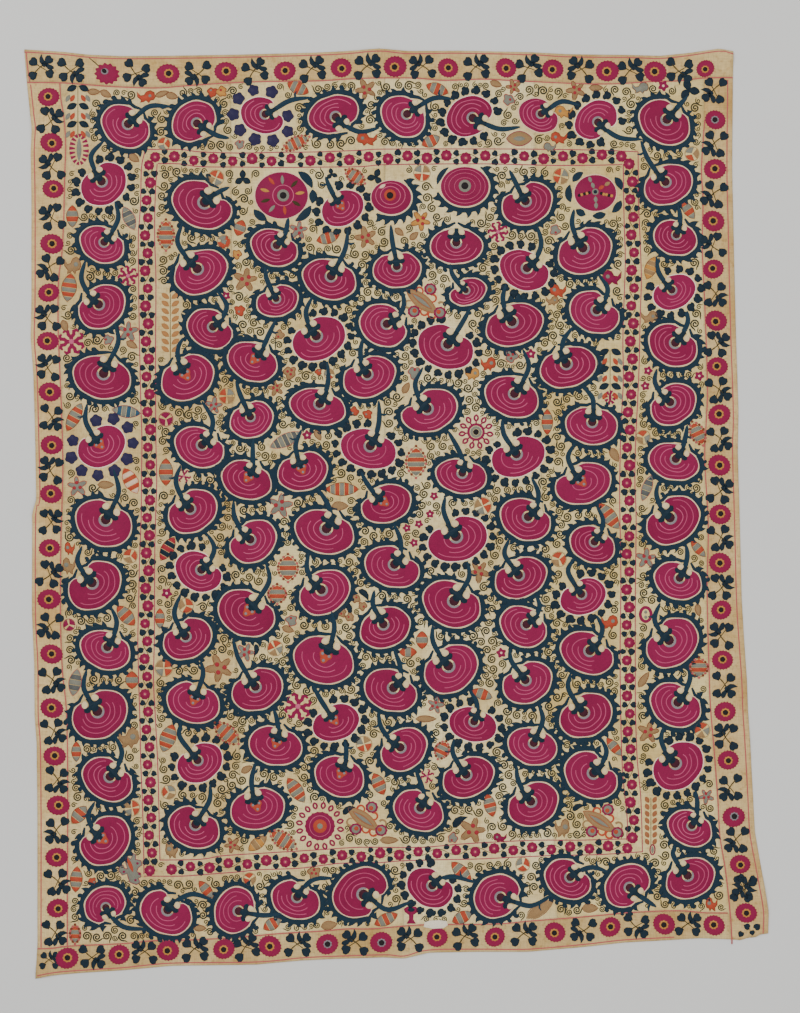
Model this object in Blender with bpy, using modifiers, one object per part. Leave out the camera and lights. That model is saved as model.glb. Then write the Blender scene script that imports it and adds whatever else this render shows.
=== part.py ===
"""A suzani: an embroidered wall cloth of narrow cotton strips with sewn-on border bands.

The cloth lies flat and face up. Its plan is charted in centimetres, x to the right and y down
from the top-left corner of the ground that it lies on. The chart is turned into metres about
the middle of the cloth's own box, so the origin is at the bottom centre.
"""

import bisect

import bmesh
import bpy

CM = 0.01
CLOTH_THICKNESS = 0.0016
SEAM_GAP = 0.0003

# Cells of the laying-out grid, counted across each band and strip.
BORDER_CELLS = 3
STRIP_CELLS = 8
FIELD_ROWS = 84
ROUNDS_TO_SETTLE = 6

# Outer edges and seams, in chart centimetres. Down the cloth: (y, x). Across it: (x, y).
LEFT_EDGE = [
    (12.4, 6.1), (21.2, 6.8), (28.7, 7.6), (32.0, 8.0), (38.0, 7.7), (50.0, 7.9), (75.0, 7.9), (84.5, 7.7),
    (94.0, 8.4), (108.5, 8.8), (125.0, 9.1), (128.5, 8.1), (153.0, 8.0), (166.0, 8.6), (179.0, 8.7),
    (186.0, 9.2), (203.0, 9.4), (222.5, 9.4), (236.0, 9.4), (244.6, 8.9),
]
LEFT_SEAM = [
    (12.4, 14.9), (20.6, 15.1), (25.0, 15.4), (29.0, 16.1), (36.0, 16.6), (45.0, 16.3), (55.0, 16.1),
    (64.0, 15.6), (70.0, 14.8), (82.0, 14.7), (92.0, 15.1), (104.0, 15.6), (118.0, 15.9), (135.0, 15.4),
    (155.0, 15.3), (168.0, 15.8), (178.0, 16.8), (196.0, 17.1), (222.0, 17.0), (236.6, 17.0), (244.6, 17.0),
]
FIRST_SEAM = [(12.4, 57.6), (120.0, 58.3), (177.0, 59.4), (206.0, 60.5), (233.0, 61.5), (244.6, 61.8)]
SECOND_SEAM = [
    (12.4, 96.2), (125.0, 96.3), (140.0, 96.9), (172.0, 98.1), (189.0, 98.7), (207.5, 100.7), (244.6, 100.9),
]
THIRD_SEAM = [(12.4, 133.6), (67.0, 134.0), (131.0, 135.7), (168.0, 136.5), (196.5, 138.0), (244.6, 140.0)]
RIGHT_SEAM = [
    (12.4, 175.9), (30.0, 176.0), (42.0, 175.2), (50.0, 175.6), (62.0, 175.4), (78.0, 176.1), (98.0, 176.7),
    (114.0, 176.0), (131.0, 176.9), (148.0, 176.6), (164.0, 177.0), (176.0, 177.4), (188.0, 178.4),
    (200.0, 179.3), (209.0, 179.8), (217.5, 181.2), (228.4, 182.4), (234.8, 182.8), (236.0, 182.8),
]
RIGHT_EDGE = [
    (12.9, 183.3), (20.0, 183.2), (42.0, 183.0), (56.0, 183.3), (82.0, 183.9), (103.0, 184.6), (113.0, 184.4),
    (130.0, 184.9), (150.0, 185.4), (160.0, 186.0), (170.0, 186.7), (178.0, 187.0), (188.0, 187.6),
    (198.5, 188.2), (208.0, 188.7), (215.5, 190.0), (221.0, 191.0), (228.0, 192.1), (233.3, 192.0),
]
TOP_EDGE = [
    (6.1, 12.4), (15.8, 13.0), (22.0, 13.7), (30.0, 14.1), (41.0, 14.0), (60.0, 13.7), (78.5, 13.2),
    (87.0, 12.8), (94.8, 12.2), (102.0, 12.8), (115.0, 12.7), (133.0, 13.1), (142.0, 13.6), (158.0, 13.8),
    (165.0, 14.0), (172.0, 13.3), (179.8, 12.2), (183.3, 12.9),
]
TOP_SEAM = [
    (6.8, 20.5), (15.0, 20.6), (22.0, 21.1), (29.0, 21.6), (39.0, 21.9), (46.0, 21.4), (56.0, 20.7),
    (66.0, 20.3), (80.0, 20.1), (90.0, 19.5), (103.0, 19.4), (111.0, 20.0), (121.0, 19.7), (131.0, 20.2),
    (150.0, 20.9), (163.0, 20.3), (170.0, 20.1), (176.0, 19.4), (183.2, 19.3),
]
BOTTOM_SEAM = [
    (9.4, 237.3), (13.0, 237.2), (17.5, 236.6), (31.0, 236.0), (38.0, 235.3), (50.0, 235.0), (62.0, 234.2),
    (71.0, 233.4), (80.0, 232.9), (87.0, 232.3), (93.0, 232.3), (106.0, 231.3), (124.0, 231.1),
    (132.0, 230.4), (146.0, 229.3), (158.0, 228.2), (170.0, 227.8), (176.0, 228.3), (192.1, 228.5),
]
BOTTOM_EDGE = [
    (8.9, 244.6), (13.0, 243.8), (20.0, 243.2), (31.0, 242.5), (43.0, 241.4), (64.0, 241.1), (75.0, 240.1),
    (83.0, 239.7), (96.0, 239.3), (101.0, 239.6), (107.0, 238.1), (120.0, 237.9), (132.0, 237.9),
    (146.0, 236.7), (156.0, 235.6), (168.5, 234.9), (175.0, 234.5), (182.8, 234.8), (185.1, 235.0),
    (187.0, 234.4), (189.0, 234.2), (190.0, 233.5), (192.0, 233.3),
]

# Low ridges where the cloth doesn't lie quite flat: middle, reach along and across, height, turn.
# A ridge runs down the cloth at turn 0 and across it at turn 1.
RIDGE_COLUMNS = ("x", "y", "along", "across", "height_mm", "turn")
RIDGES = [
    (181.5, 14.5, 4.5, 2.6, 3.6, 1.0),
    (94.5, 13.5, 9.0, 2.4, 2.6, 1.0),
    (30.0, 15.5, 8.0, 2.4, 1.8, 1.0),
    (8.6, 126.5, 6.0, 2.2, 3.2, 0.0),
    (8.3, 31.0, 6.0, 1.8, 2.4, 0.0),
    (103.5, 237.0, 7.0, 2.6, 3.4, 1.0),
    (11.0, 243.0, 5.0, 2.4, 2.8, 1.0),
    (190.5, 226.0, 9.0, 2.6, 4.2, 0.0),
    (186.3, 186.0, 10.0, 2.0, 2.4, 0.0),
    (189.0, 232.6, 4.0, 1.8, 2.6, 1.0),
]

# Where each cloth's own cells lie in the laying-out grid: first and last column, then row.
COLUMNS = 2 * BORDER_CELLS + 4 * STRIP_CELLS
ROWS = 2 * BORDER_CELLS + FIELD_ROWS
FIELD_BOTTOM = BORDER_CELLS + FIELD_ROWS
RIGHT_BORDER_START = COLUMNS - BORDER_CELLS
STRIP_STARTS = [BORDER_CELLS + strip * STRIP_CELLS for strip in range(5)]

GROUND_ROUGHNESS = 0.92
CLOTHS = {
    "border_top": ((0, COLUMNS), (0, BORDER_CELLS), (0.66, 0.52, 0.30)),
    "border_left": ((0, BORDER_CELLS), (BORDER_CELLS, FIELD_BOTTOM), (0.67, 0.54, 0.33)),
    "border_bottom": ((0, RIGHT_BORDER_START), (FIELD_BOTTOM, ROWS), (0.66, 0.50, 0.29)),
    "border_right": ((RIGHT_BORDER_START, COLUMNS), (BORDER_CELLS, ROWS), (0.66, 0.51, 0.29)),
    "field_strip_1": (STRIP_STARTS[0:2], (BORDER_CELLS, FIELD_BOTTOM), (0.66, 0.51, 0.28)),
    "field_strip_2": (STRIP_STARTS[1:3], (BORDER_CELLS, FIELD_BOTTOM), (0.68, 0.56, 0.34)),
    "field_strip_3": (STRIP_STARTS[2:4], (BORDER_CELLS, FIELD_BOTTOM), (0.71, 0.60, 0.39)),
    "field_strip_4": (STRIP_STARTS[3:5], (BORDER_CELLS, FIELD_BOTTOM), (0.68, 0.55, 0.33)),
}


def line_at(line, place):
    """Value of a charted line at one place along it, straight between its points."""
    stops = [point[0] for point in line]
    right = min(max(bisect.bisect(stops, place), 1), len(line) - 1)
    (start, low), (end, high) = line[right - 1], line[right]
    share = min(max((place - start) / (end - start), 0.0), 1.0)
    return low + (high - low) * share


def band_stops(cells_in_bands, lines, place):
    """Stops across a set of bands, each band cut into even cells between its two lines."""
    marks = [line_at(line, place) for line in lines]
    stops = [marks[0]]
    for cells, start, end in zip(cells_in_bands, marks, marks[1:]):
        stops += [start + (end - start) * (step + 1) / cells for step in range(cells)]
    return stops


def chart_point(column, row):
    """Chart place of one grid corner: where its column line and its row line cross."""
    across = [BORDER_CELLS] + [STRIP_CELLS] * 4 + [BORDER_CELLS]
    down = [BORDER_CELLS, FIELD_ROWS, BORDER_CELLS]
    uprights = [LEFT_EDGE, LEFT_SEAM, FIRST_SEAM, SECOND_SEAM, THIRD_SEAM, RIGHT_SEAM, RIGHT_EDGE]
    levels = [TOP_EDGE, TOP_SEAM, BOTTOM_SEAM, BOTTOM_EDGE]
    x = 100.0
    y = 128.0
    for _ in range(ROUNDS_TO_SETTLE):
        y = band_stops(down, levels, x)[row]
        x = band_stops(across, uprights, y)[column]
    return x, y


def ridge_height(x, y):
    """How far the cloth stands off the surface at a chart place, in metres."""
    height = 0.0
    for values in RIDGES:
        ridge = dict(zip(RIDGE_COLUMNS, values))
        along, across = (x - ridge["x"], y - ridge["y"]) if ridge["turn"] else (y - ridge["y"], x - ridge["x"])
        reach = (along / ridge["along"]) ** 2 + (across / ridge["across"]) ** 2
        if reach < 1.0:
            height += ridge["height_mm"] * 0.001 * (1.0 - reach) ** 2
    return height


def drawn_in(index, first, last, size):
    """Half the seam gap, inwards, for a corner on a cloth's first or last line of cells."""
    if index == first and first > 0:
        return SEAM_GAP / 2
    if index == last and last < size:
        return -SEAM_GAP / 2
    return 0.0


def cloth_mesh(name, columns, rows, middle):
    """One cloth as a grid of its own cells, laid on the chart."""
    wide = columns[1] - columns[0]
    high = rows[1] - rows[0]
    grid = bmesh.new()
    bmesh.ops.create_grid(grid, x_segments=wide, y_segments=high, size=1.0)
    for corner in grid.verts:
        column = columns[0] + round((corner.co.x + 1.0) / 2 * wide)
        row = rows[0] + round((1.0 - corner.co.y) / 2 * high)
        x, y = chart_point(column, row)
        corner.co.x = (x - middle[0]) * CM + drawn_in(column, *columns, COLUMNS)
        corner.co.y = (middle[1] - y) * CM - drawn_in(row, *rows, ROWS)
        corner.co.z = ridge_height(x, y)
    mesh = bpy.data.meshes.new(name)
    grid.to_mesh(mesh)
    grid.free()
    return mesh


def cotton(name, colour):
    material = bpy.data.materials.new(name)
    material.use_nodes = True
    surface = material.node_tree.nodes["Principled BSDF"]
    surface.inputs["Base Color"].default_value = (*colour, 1.0)
    surface.inputs["Roughness"].default_value = GROUND_ROUGHNESS
    surface.inputs["Metallic"].default_value = 0.0
    return material


def plan_middle():
    """Middle of the box around the whole plan, in chart centimetres."""
    corners = [chart_point(column, row) for column in range(COLUMNS + 1) for row in range(ROWS + 1)]
    sides = [(min(values) + max(values)) / 2 for values in zip(*corners)]
    return sides


for old in list(bpy.data.objects):
    bpy.data.objects.remove(old)

suzani = bpy.data.collections.new("suzani")
bpy.context.scene.collection.children.link(suzani)

middle = plan_middle()
for name, (columns, rows, colour) in CLOTHS.items():
    cloth = bpy.data.objects.new(name, cloth_mesh(name, columns, rows, middle))
    cloth.data.materials.append(cotton(name + "_cotton", colour))
    suzani.objects.link(cloth)
    # The grid is the cloth's underside, and its thickness goes up from there.
    thickness = cloth.modifiers.new("thickness", "SOLIDIFY")
    thickness.thickness = CLOTH_THICKNESS
    thickness.offset = 1.0
    thickness.use_rim = True
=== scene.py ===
"""A suzani lying flat and face up: cotton strips and border bands, embroidered all over in silk."""

import math
import random

import bpy
import numpy as np
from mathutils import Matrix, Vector


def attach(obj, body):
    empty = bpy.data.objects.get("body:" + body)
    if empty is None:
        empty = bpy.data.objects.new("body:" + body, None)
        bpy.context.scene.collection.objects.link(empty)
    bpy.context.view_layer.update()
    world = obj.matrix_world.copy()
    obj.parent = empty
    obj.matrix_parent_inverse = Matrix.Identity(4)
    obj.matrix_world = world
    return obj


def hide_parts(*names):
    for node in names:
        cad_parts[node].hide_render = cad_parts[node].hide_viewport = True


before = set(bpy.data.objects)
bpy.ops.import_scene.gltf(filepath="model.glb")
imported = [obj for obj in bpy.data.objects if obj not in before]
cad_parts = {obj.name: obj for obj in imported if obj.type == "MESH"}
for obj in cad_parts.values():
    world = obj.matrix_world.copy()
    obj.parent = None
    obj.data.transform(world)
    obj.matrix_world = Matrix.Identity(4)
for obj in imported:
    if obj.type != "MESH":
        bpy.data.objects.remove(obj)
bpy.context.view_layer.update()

# The ground cloth: four narrow loom-woven cotton strips sewn edge to edge, and four border bands sewn
# round them. Hand-spun and undyed, it has yellowed unevenly. Each is a thin sheet lying on the surface.
CM = 0.01
CHART_MIDDLE = (99.1, 128.455)
CLOTH_THICKNESS = 0.0016
CLOTH_CELL_CM = 1.0
SEAM_GAP_CM = 0.03
ROUNDS_TO_SETTLE = 8
LEFT_EDGE = [
    (12.4, 6.1), (21.2, 6.8), (28.7, 7.6), (32.0, 8.0), (38.0, 7.7), (50.0, 7.9), (75.0, 7.9),
    (84.5, 7.7), (94.0, 8.4), (108.5, 8.8), (125.0, 9.1), (128.5, 8.1), (153.0, 8.0), (166.0, 8.6),
    (179.0, 8.7), (186.0, 9.2), (203.0, 9.4), (222.5, 9.4), (236.0, 9.4), (244.6, 8.9),
]
LEFT_SEAM = [
    (12.4, 14.9), (20.6, 15.1), (25.0, 15.4), (29.0, 16.1), (36.0, 16.6), (45.0, 16.3), (55.0, 16.1),
    (64.0, 15.6), (70.0, 14.8), (82.0, 14.7), (92.0, 15.1), (104.0, 15.6), (118.0, 15.9), (135.0, 15.4),
    (155.0, 15.3), (168.0, 15.8), (178.0, 16.8), (196.0, 17.1), (222.0, 17.0), (236.6, 17.0),
    (244.6, 17.0),
]
FIRST_SEAM = [(12.4, 57.6), (120.0, 58.3), (177.0, 59.4), (206.0, 60.5), (233.0, 61.5), (244.6, 61.8)]
SECOND_SEAM = [
    (12.4, 96.2), (125.0, 96.3), (140.0, 96.9), (172.0, 98.1), (189.0, 98.7), (207.5, 100.7),
    (244.6, 100.9),
]
THIRD_SEAM = [
    (12.4, 133.6), (67.0, 134.0), (131.0, 135.7), (168.0, 136.5), (196.5, 138.0), (244.6, 140.0),
]
RIGHT_SEAM = [
    (12.4, 175.9), (30.0, 176.0), (42.0, 175.2), (50.0, 175.6), (62.0, 175.4), (78.0, 176.1),
    (98.0, 176.7), (114.0, 176.0), (131.0, 176.9), (148.0, 176.6), (164.0, 177.0), (176.0, 177.4),
    (188.0, 178.4), (200.0, 179.3), (209.0, 179.8), (217.5, 181.2), (228.4, 182.4), (234.8, 182.8),
    (236.0, 182.8),
]
RIGHT_EDGE = [
    (12.9, 183.3), (20.0, 183.2), (42.0, 183.0), (56.0, 183.3), (82.0, 183.9), (103.0, 184.6),
    (113.0, 184.4), (130.0, 184.9), (150.0, 185.4), (160.0, 186.0), (170.0, 186.7), (178.0, 187.0),
    (188.0, 187.6), (198.5, 188.2), (208.0, 188.7), (215.5, 190.0), (221.0, 191.0), (228.0, 192.1),
    (233.3, 192.0),
]
TOP_EDGE = [
    (6.1, 12.4), (15.8, 13.0), (22.0, 13.7), (30.0, 14.1), (41.0, 14.0), (60.0, 13.7), (78.5, 13.2),
    (87.0, 12.8), (94.8, 12.2), (102.0, 12.8), (115.0, 12.7), (133.0, 13.1), (142.0, 13.6), (158.0, 13.8),
    (165.0, 14.0), (172.0, 13.3), (179.8, 12.2), (183.3, 12.9),
]
TOP_SEAM = [
    (6.8, 20.5), (15.0, 20.6), (22.0, 21.1), (29.0, 21.6), (39.0, 21.9), (46.0, 21.4), (56.0, 20.7),
    (66.0, 20.3), (80.0, 20.1), (90.0, 19.5), (103.0, 19.4), (111.0, 20.0), (121.0, 19.7), (131.0, 20.2),
    (150.0, 20.9), (163.0, 20.3), (170.0, 20.1), (176.0, 19.4), (183.2, 19.3),
]
BOTTOM_SEAM = [
    (9.4, 237.3), (13.0, 237.2), (17.5, 236.6), (31.0, 236.0), (38.0, 235.3), (50.0, 235.0),
    (62.0, 234.2), (71.0, 233.4), (80.0, 232.9), (87.0, 232.3), (93.0, 232.3), (106.0, 231.3),
    (124.0, 231.1), (132.0, 230.4), (146.0, 229.3), (158.0, 228.2), (170.0, 227.8), (176.0, 228.3),
    (192.1, 228.5),
]
BOTTOM_EDGE = [
    (8.9, 244.6), (13.0, 243.8), (20.0, 243.2), (31.0, 242.5), (43.0, 241.4), (64.0, 241.1),
    (75.0, 240.1), (83.0, 239.7), (96.0, 239.3), (101.0, 239.6), (107.0, 238.1), (120.0, 237.9),
    (132.0, 237.9), (146.0, 236.7), (156.0, 235.6), (168.5, 234.9), (175.0, 234.5), (182.8, 234.8),
    (185.1, 235.0), (187.0, 234.4), (189.0, 234.2), (190.0, 233.5), (192.0, 233.3),
]
# Low ridges in the laid-out cloth: x, y, reach along, reach across, height in mm, 1 where it runs across.
RIDGES = [
    (181.5, 14.5, 4.5, 2.6, 3.6, 1), (94.5, 13.5, 9.0, 2.4, 2.6, 1), (30.0, 15.5, 8.0, 2.4, 1.8, 1),
    (8.6, 126.5, 6.0, 2.2, 3.2, 0), (8.3, 31.0, 6.0, 1.8, 2.4, 0), (103.5, 237.0, 7.0, 2.6, 3.4, 1),
    (11.0, 243.0, 5.0, 2.4, 2.8, 1), (190.5, 226.0, 9.0, 2.6, 4.2, 0), (186.3, 186.0, 10.0, 2.0, 2.4, 0),
    (189.0, 232.6, 4.0, 1.8, 2.6, 1),
]
PUCKER_MM = 0.35
# Each cloth: its left and right lines, its top and bottom lines, its colour and its finish in the record.
CLOTHS = {
    "border_top": (LEFT_EDGE, RIGHT_EDGE, TOP_EDGE, TOP_SEAM, (208, 180, 125), "border_cotton"),
    "border_left": (LEFT_EDGE, LEFT_SEAM, TOP_SEAM, BOTTOM_SEAM, (218, 189, 133), "border_cotton"),
    "border_bottom": (LEFT_EDGE, RIGHT_SEAM, BOTTOM_SEAM, BOTTOM_EDGE, (203, 176, 123), "border_cotton"),
    "border_right": (RIGHT_SEAM, RIGHT_EDGE, TOP_SEAM, BOTTOM_EDGE, (206, 177, 123), "border_cotton"),
    "field_strip_1": (LEFT_SEAM, FIRST_SEAM, TOP_SEAM, BOTTOM_SEAM, (216, 193, 139), "field_cotton"),
    "field_strip_2": (FIRST_SEAM, SECOND_SEAM, TOP_SEAM, BOTTOM_SEAM, (225, 205, 150), "field_cotton"),
    "field_strip_3": (SECOND_SEAM, THIRD_SEAM, TOP_SEAM, BOTTOM_SEAM, (230, 212, 160), "field_cotton"),
    "field_strip_4": (THIRD_SEAM, RIGHT_SEAM, TOP_SEAM, BOTTOM_SEAM, (223, 202, 143), "field_cotton"),
}


def dyed(red, green, blue):
    """A colour read off a dye card, 0 to 255, as the shader wants it."""
    card = [value / 255 for value in (red, green, blue)]
    return [part / 12.92 if part < 0.04045 else ((part + 0.055) / 1.055) ** 2.4 for part in card] + [1.0]


def follow(line, place):
    """Value of a charted line at each place along it, straight between its points."""
    stops, values = zip(*line)
    return np.interp(place, stops, values)


def cloth_rise(x, y):
    """How far the underside of the cloth stands off the surface at chart places, in metres."""
    rise = np.zeros_like(x)
    for ridge_x, ridge_y, along, across, height_mm, turned in RIDGES:
        reach_x, reach_y = (along, across) if turned else (across, along)
        reach = ((x - ridge_x) / reach_x) ** 2 + ((y - ridge_y) / reach_y) ** 2
        rise += height_mm * 0.001 * np.clip(1.0 - reach, 0.0, None) ** 2
    pucker = np.sin(x / 2.9 + 1.3 * np.sin(y / 9.1)) * np.sin(y / 3.7 + 1.1 * np.sin(x / 7.3))
    pucker += 0.7 * np.sin(x / 6.1 - y / 5.3) + 0.5 * np.sin(y / 1.9 + x / 11.0)
    return rise + PUCKER_MM * 0.001 * (2.2 + pucker) / 2.2


def node(tree, kind, inputs=None, **settings):
    """One shader or geometry node, with its settings and the values of its inputs."""
    made = tree.nodes.new(kind)
    for name, value in settings.items():
        setattr(made, name, value)
    for name, value in (inputs or {}).items():
        if isinstance(value, bpy.types.NodeSocket):
            tree.links.new(value, made.inputs[name])
        else:
            made.inputs[name].default_value = value
    return made


def new_finish(name):
    """An empty material with its shader node, and its tree."""
    material = bpy.data.materials.new(name)
    material.use_nodes = True
    return material, material.node_tree, material.node_tree.nodes["Principled BSDF"]


def noise(tree, place, scale, detail=2.0, roughness=0.5):
    """How strong a cloudy pattern is at each place."""
    inputs = {"Vector": place, "Scale": scale, "Detail": detail, "Roughness": roughness}
    return node(tree, "ShaderNodeTexNoise", inputs).outputs[0]


def stretched(tree, place, scale, turn=0.0):
    """Places stretched and turned, so that a pattern read there runs one way."""
    inputs = {"Vector": place, "Rotation": (0.0, 0.0, turn), "Scale": scale}
    return node(tree, "ShaderNodeMapping", inputs).outputs[0]


def reckon(tree, operation, *values):
    """The result of one sum on a tree's values."""
    return node(tree, "ShaderNodeMath", dict(enumerate(values)), operation=operation).outputs[0]


def spread(tree, value, low, high, least, most):
    """A value from between two limits, brought to another range."""
    return node(tree, "ShaderNodeMapRange", {"Value": value, 1: low, 2: high, 3: least, 4: most}).outputs[0]


def set_look(tree, shader, colour, tone, relief, depth, strength):
    """Give a finish its colour, paler or darker by a tone, and the relief of its threads."""
    toned = node(tree, "ShaderNodeVectorMath", {0: colour, "Scale": tone}, operation="SCALE")
    bump = node(tree, "ShaderNodeBump", {"Height": relief, "Distance": depth, "Strength": strength})
    tree.links.new(toned.outputs[0], shader.inputs["Base Color"])
    tree.links.new(bump.outputs[0], shader.inputs["Normal"])


def cotton(name, colour):
    """Yellowed hand-woven cotton: plain weave of uneven threads, slubs, foxing and a few old stains."""
    material, tree, shader = new_finish(name)
    place = node(tree, "ShaderNodeTexCoord").outputs["Object"]
    stains = noise(tree, place, 5.5, 5.0, 0.62)
    specks = noise(tree, place, 90.0, 3.0, 0.7)
    weft = noise(tree, stretched(tree, place, (30.0, 420.0, 1.0)), 1.0)
    warp = noise(tree, stretched(tree, place, (420.0, 30.0, 1.0)), 1.0)
    weave = reckon(tree, "ADD", weft, warp)
    clean = dyed(*colour)
    yellowed = dyed(colour[0] - 30, colour[1] - 42, colour[2] - 52)
    foxed = dyed(colour[0] - 52, colour[1] - 62, colour[2] - 62)
    stained = node(tree, "ShaderNodeValToRGB", {"Fac": stains})
    for stop, position, dye in zip(stained.color_ramp.elements, (0.40, 0.74), (clean, yellowed)):
        stop.position = position
        stop.color = dye
    flecks = {0: spread(tree, specks, 0.52, 0.78, 0.0, 0.75), 6: stained.outputs[0], 7: foxed}
    flecked = node(tree, "ShaderNodeMix", flecks, data_type="RGBA").outputs[2]
    set_look(tree, shader, flecked, spread(tree, weave, 0.7, 1.3, 0.80, 1.10), weave, 0.0006, 0.55)
    shader.inputs["Roughness"].default_value = 0.92
    shader.inputs["Sheen Weight"].default_value = 0.03
    shader.inputs["Specular IOR Level"].default_value = 0.12
    return material


def add_plan_uv(mesh):
    """Flat map of the whole cloth on a piece, so that its colours keep their place."""
    places = np.empty(len(mesh.vertices) * 3)
    mesh.vertices.foreach_get("co", places)
    corners = np.empty(len(mesh.loops), dtype=int)
    mesh.loops.foreach_get("vertex_index", corners)
    flat = places.reshape(-1, 3)[corners, :2]
    low = flat.min(axis=0)
    wide = (flat.max(axis=0) - low).max()
    layer = mesh.uv_layers.new(name="OFBake")
    layer.data.foreach_set("uv", ((flat - low) / wide * 0.996 + 0.002).ravel())


def finish_piece(piece):
    """Hang a finished piece on the cloth's one body."""
    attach(piece, "root")


def new_object(name, mesh):
    made = bpy.data.objects.new(name, mesh)
    bpy.context.scene.collection.objects.link(made)
    return made


def bake_modifiers(piece):
    """The piece as a plain mesh, with what its modifiers make."""
    bpy.context.view_layer.update()
    state = bpy.context.evaluated_depsgraph_get()
    made = piece.evaluated_get(state)
    mesh = bpy.data.meshes.new_from_object(made, preserve_all_data_layers=True, depsgraph=state)
    mesh.name = piece.name
    piece.modifiers.clear()
    piece.data = mesh
    return mesh


for cloth_name, (left, right, top, bottom, colour, slot) in CLOTHS.items():
    widest = max(value for _, value in right) - min(value for _, value in left)
    longest = max(value for _, value in bottom) - min(value for _, value in top)
    across, down = round(widest / CLOTH_CELL_CM), round(longest / CLOTH_CELL_CM)
    share_x, share_y = np.meshgrid(np.linspace(0, 1, across + 1), np.linspace(0, 1, down + 1))
    x, y = np.full(share_x.shape, 99.0), np.full(share_x.shape, 128.0)
    for _ in range(ROUNDS_TO_SETTLE):
        y = follow(top, x) + (follow(bottom, x) - follow(top, x)) * share_y
        x = follow(left, y) + (follow(right, y) - follow(left, y)) * share_x
    x[:, 0] += SEAM_GAP_CM / 2 * (left is not LEFT_EDGE)
    x[:, -1] -= SEAM_GAP_CM / 2 * (right is not RIGHT_EDGE)
    y[0] += SEAM_GAP_CM / 2 * (top is not TOP_EDGE)
    y[-1] -= SEAM_GAP_CM / 2 * (bottom is not BOTTOM_EDGE)
    corners = np.stack([(x - CHART_MIDDLE[0]) * CM, (CHART_MIDDLE[1] - y) * CM, cloth_rise(x, y)], axis=-1)
    first = np.arange((across + 1) * (down + 1)).reshape(down + 1, across + 1)
    cells = np.stack([first[:-1, :-1], first[1:, :-1], first[1:, 1:], first[:-1, 1:]], axis=-1)
    mesh = bpy.data.meshes.new(cloth_name + "_cloth")
    mesh.from_pydata(corners.reshape(-1, 3).tolist(), [], cells.reshape(-1, 4).tolist())
    mesh.polygons.foreach_set("use_smooth", [True] * len(mesh.polygons))
    mesh.materials.append(cotton(cloth_name + "_weave", colour))
    cloth = new_object(cloth_name + "_cloth", mesh)
    thickness = cloth.modifiers.new("thickness", "SOLIDIFY")
    thickness.thickness = CLOTH_THICKNESS
    thickness.offset = 1.0
    add_plan_uv(bake_modifiers(cloth))
    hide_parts(cloth_name)
    finish_piece(cloth)

# Silk laid along drawn lines: seams and edges are covered by a narrow line of brick-pink chain stitch.
# Every line in the embroidery is sewn this way, so this tree lays a low arched band along any path.
BRICK = dyed(172, 84, 82)
LINE_HALF_CM = 0.18
STITCH_RISE_MM = 0.7


def silk(name, roughness=0.55, thread_mm=1.1):
    """Dyed silk floss: laid threads with a soft shine, tied down by small slanting stitches."""
    material, tree, shader = new_finish(name)
    place = node(tree, "ShaderNodeTexCoord").outputs["Object"]
    threads = node(tree, "ShaderNodeAttribute", attribute_name="threads").outputs["Vector"]
    dye = node(tree, "ShaderNodeAttribute", attribute_name="dye").outputs["Color"]
    strand = noise(tree, stretched(tree, threads, (60.0, 1000.0 / thread_mm, 1.0)), 1.0)
    ties = {"Vector": stretched(tree, threads, (330, 170, 1), 0.6), "Scale": 1.0, "Randomness": 0.45}
    tie = node(tree, "ShaderNodeTexVoronoi", ties).outputs["Distance"]
    relief = reckon(tree, "ADD", strand, tie)
    uneven = reckon(tree, "ADD", relief, noise(tree, place, 26.0, 4.0, 0.65))
    set_look(tree, shader, dye, spread(tree, uneven, 0.9, 2.1, 1.16, 0.82), relief, 0.0005, 0.5)
    shader.inputs["Roughness"].default_value = roughness
    shader.inputs["Specular IOR Level"].default_value = 0.15
    shader.inputs["Sheen Weight"].default_value = 0.02
    shader.inputs["Anisotropic"].default_value = 0.3
    return material


def new_tree(name, inputs, made):
    """An empty Geometry Nodes tree, with the kinds of its inputs, one output and the inputs' sockets."""
    tree = bpy.data.node_groups.new(name, "GeometryNodeTree")
    for label, kind in inputs.items():
        tree.interface.new_socket(label, in_out="INPUT", socket_type="NodeSocket" + kind)
    tree.interface.new_socket(made, in_out="OUTPUT", socket_type="NodeSocketGeometry")
    return tree, node(tree, "NodeGroupInput").outputs


def point_value(tree, name):
    """A number that each point carries under a name."""
    return node(tree, "GeometryNodeInputNamedAttribute", {"Name": name}, data_type="FLOAT").outputs[0]


def position(tree):
    place = node(tree, "GeometryNodeInputPosition").outputs[0]
    return node(tree, "ShaderNodeSeparateXYZ", {0: place}).outputs


def remember(tree, geometry, label, value):
    """Keep a value on the points as they are now, for use further down the tree."""
    kept = node(tree, "GeometryNodeCaptureAttribute", {"Geometry": geometry})
    kept.capture_items.new("FLOAT", label)
    tree.links.new(value, kept.inputs[label])
    return kept.outputs


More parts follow.
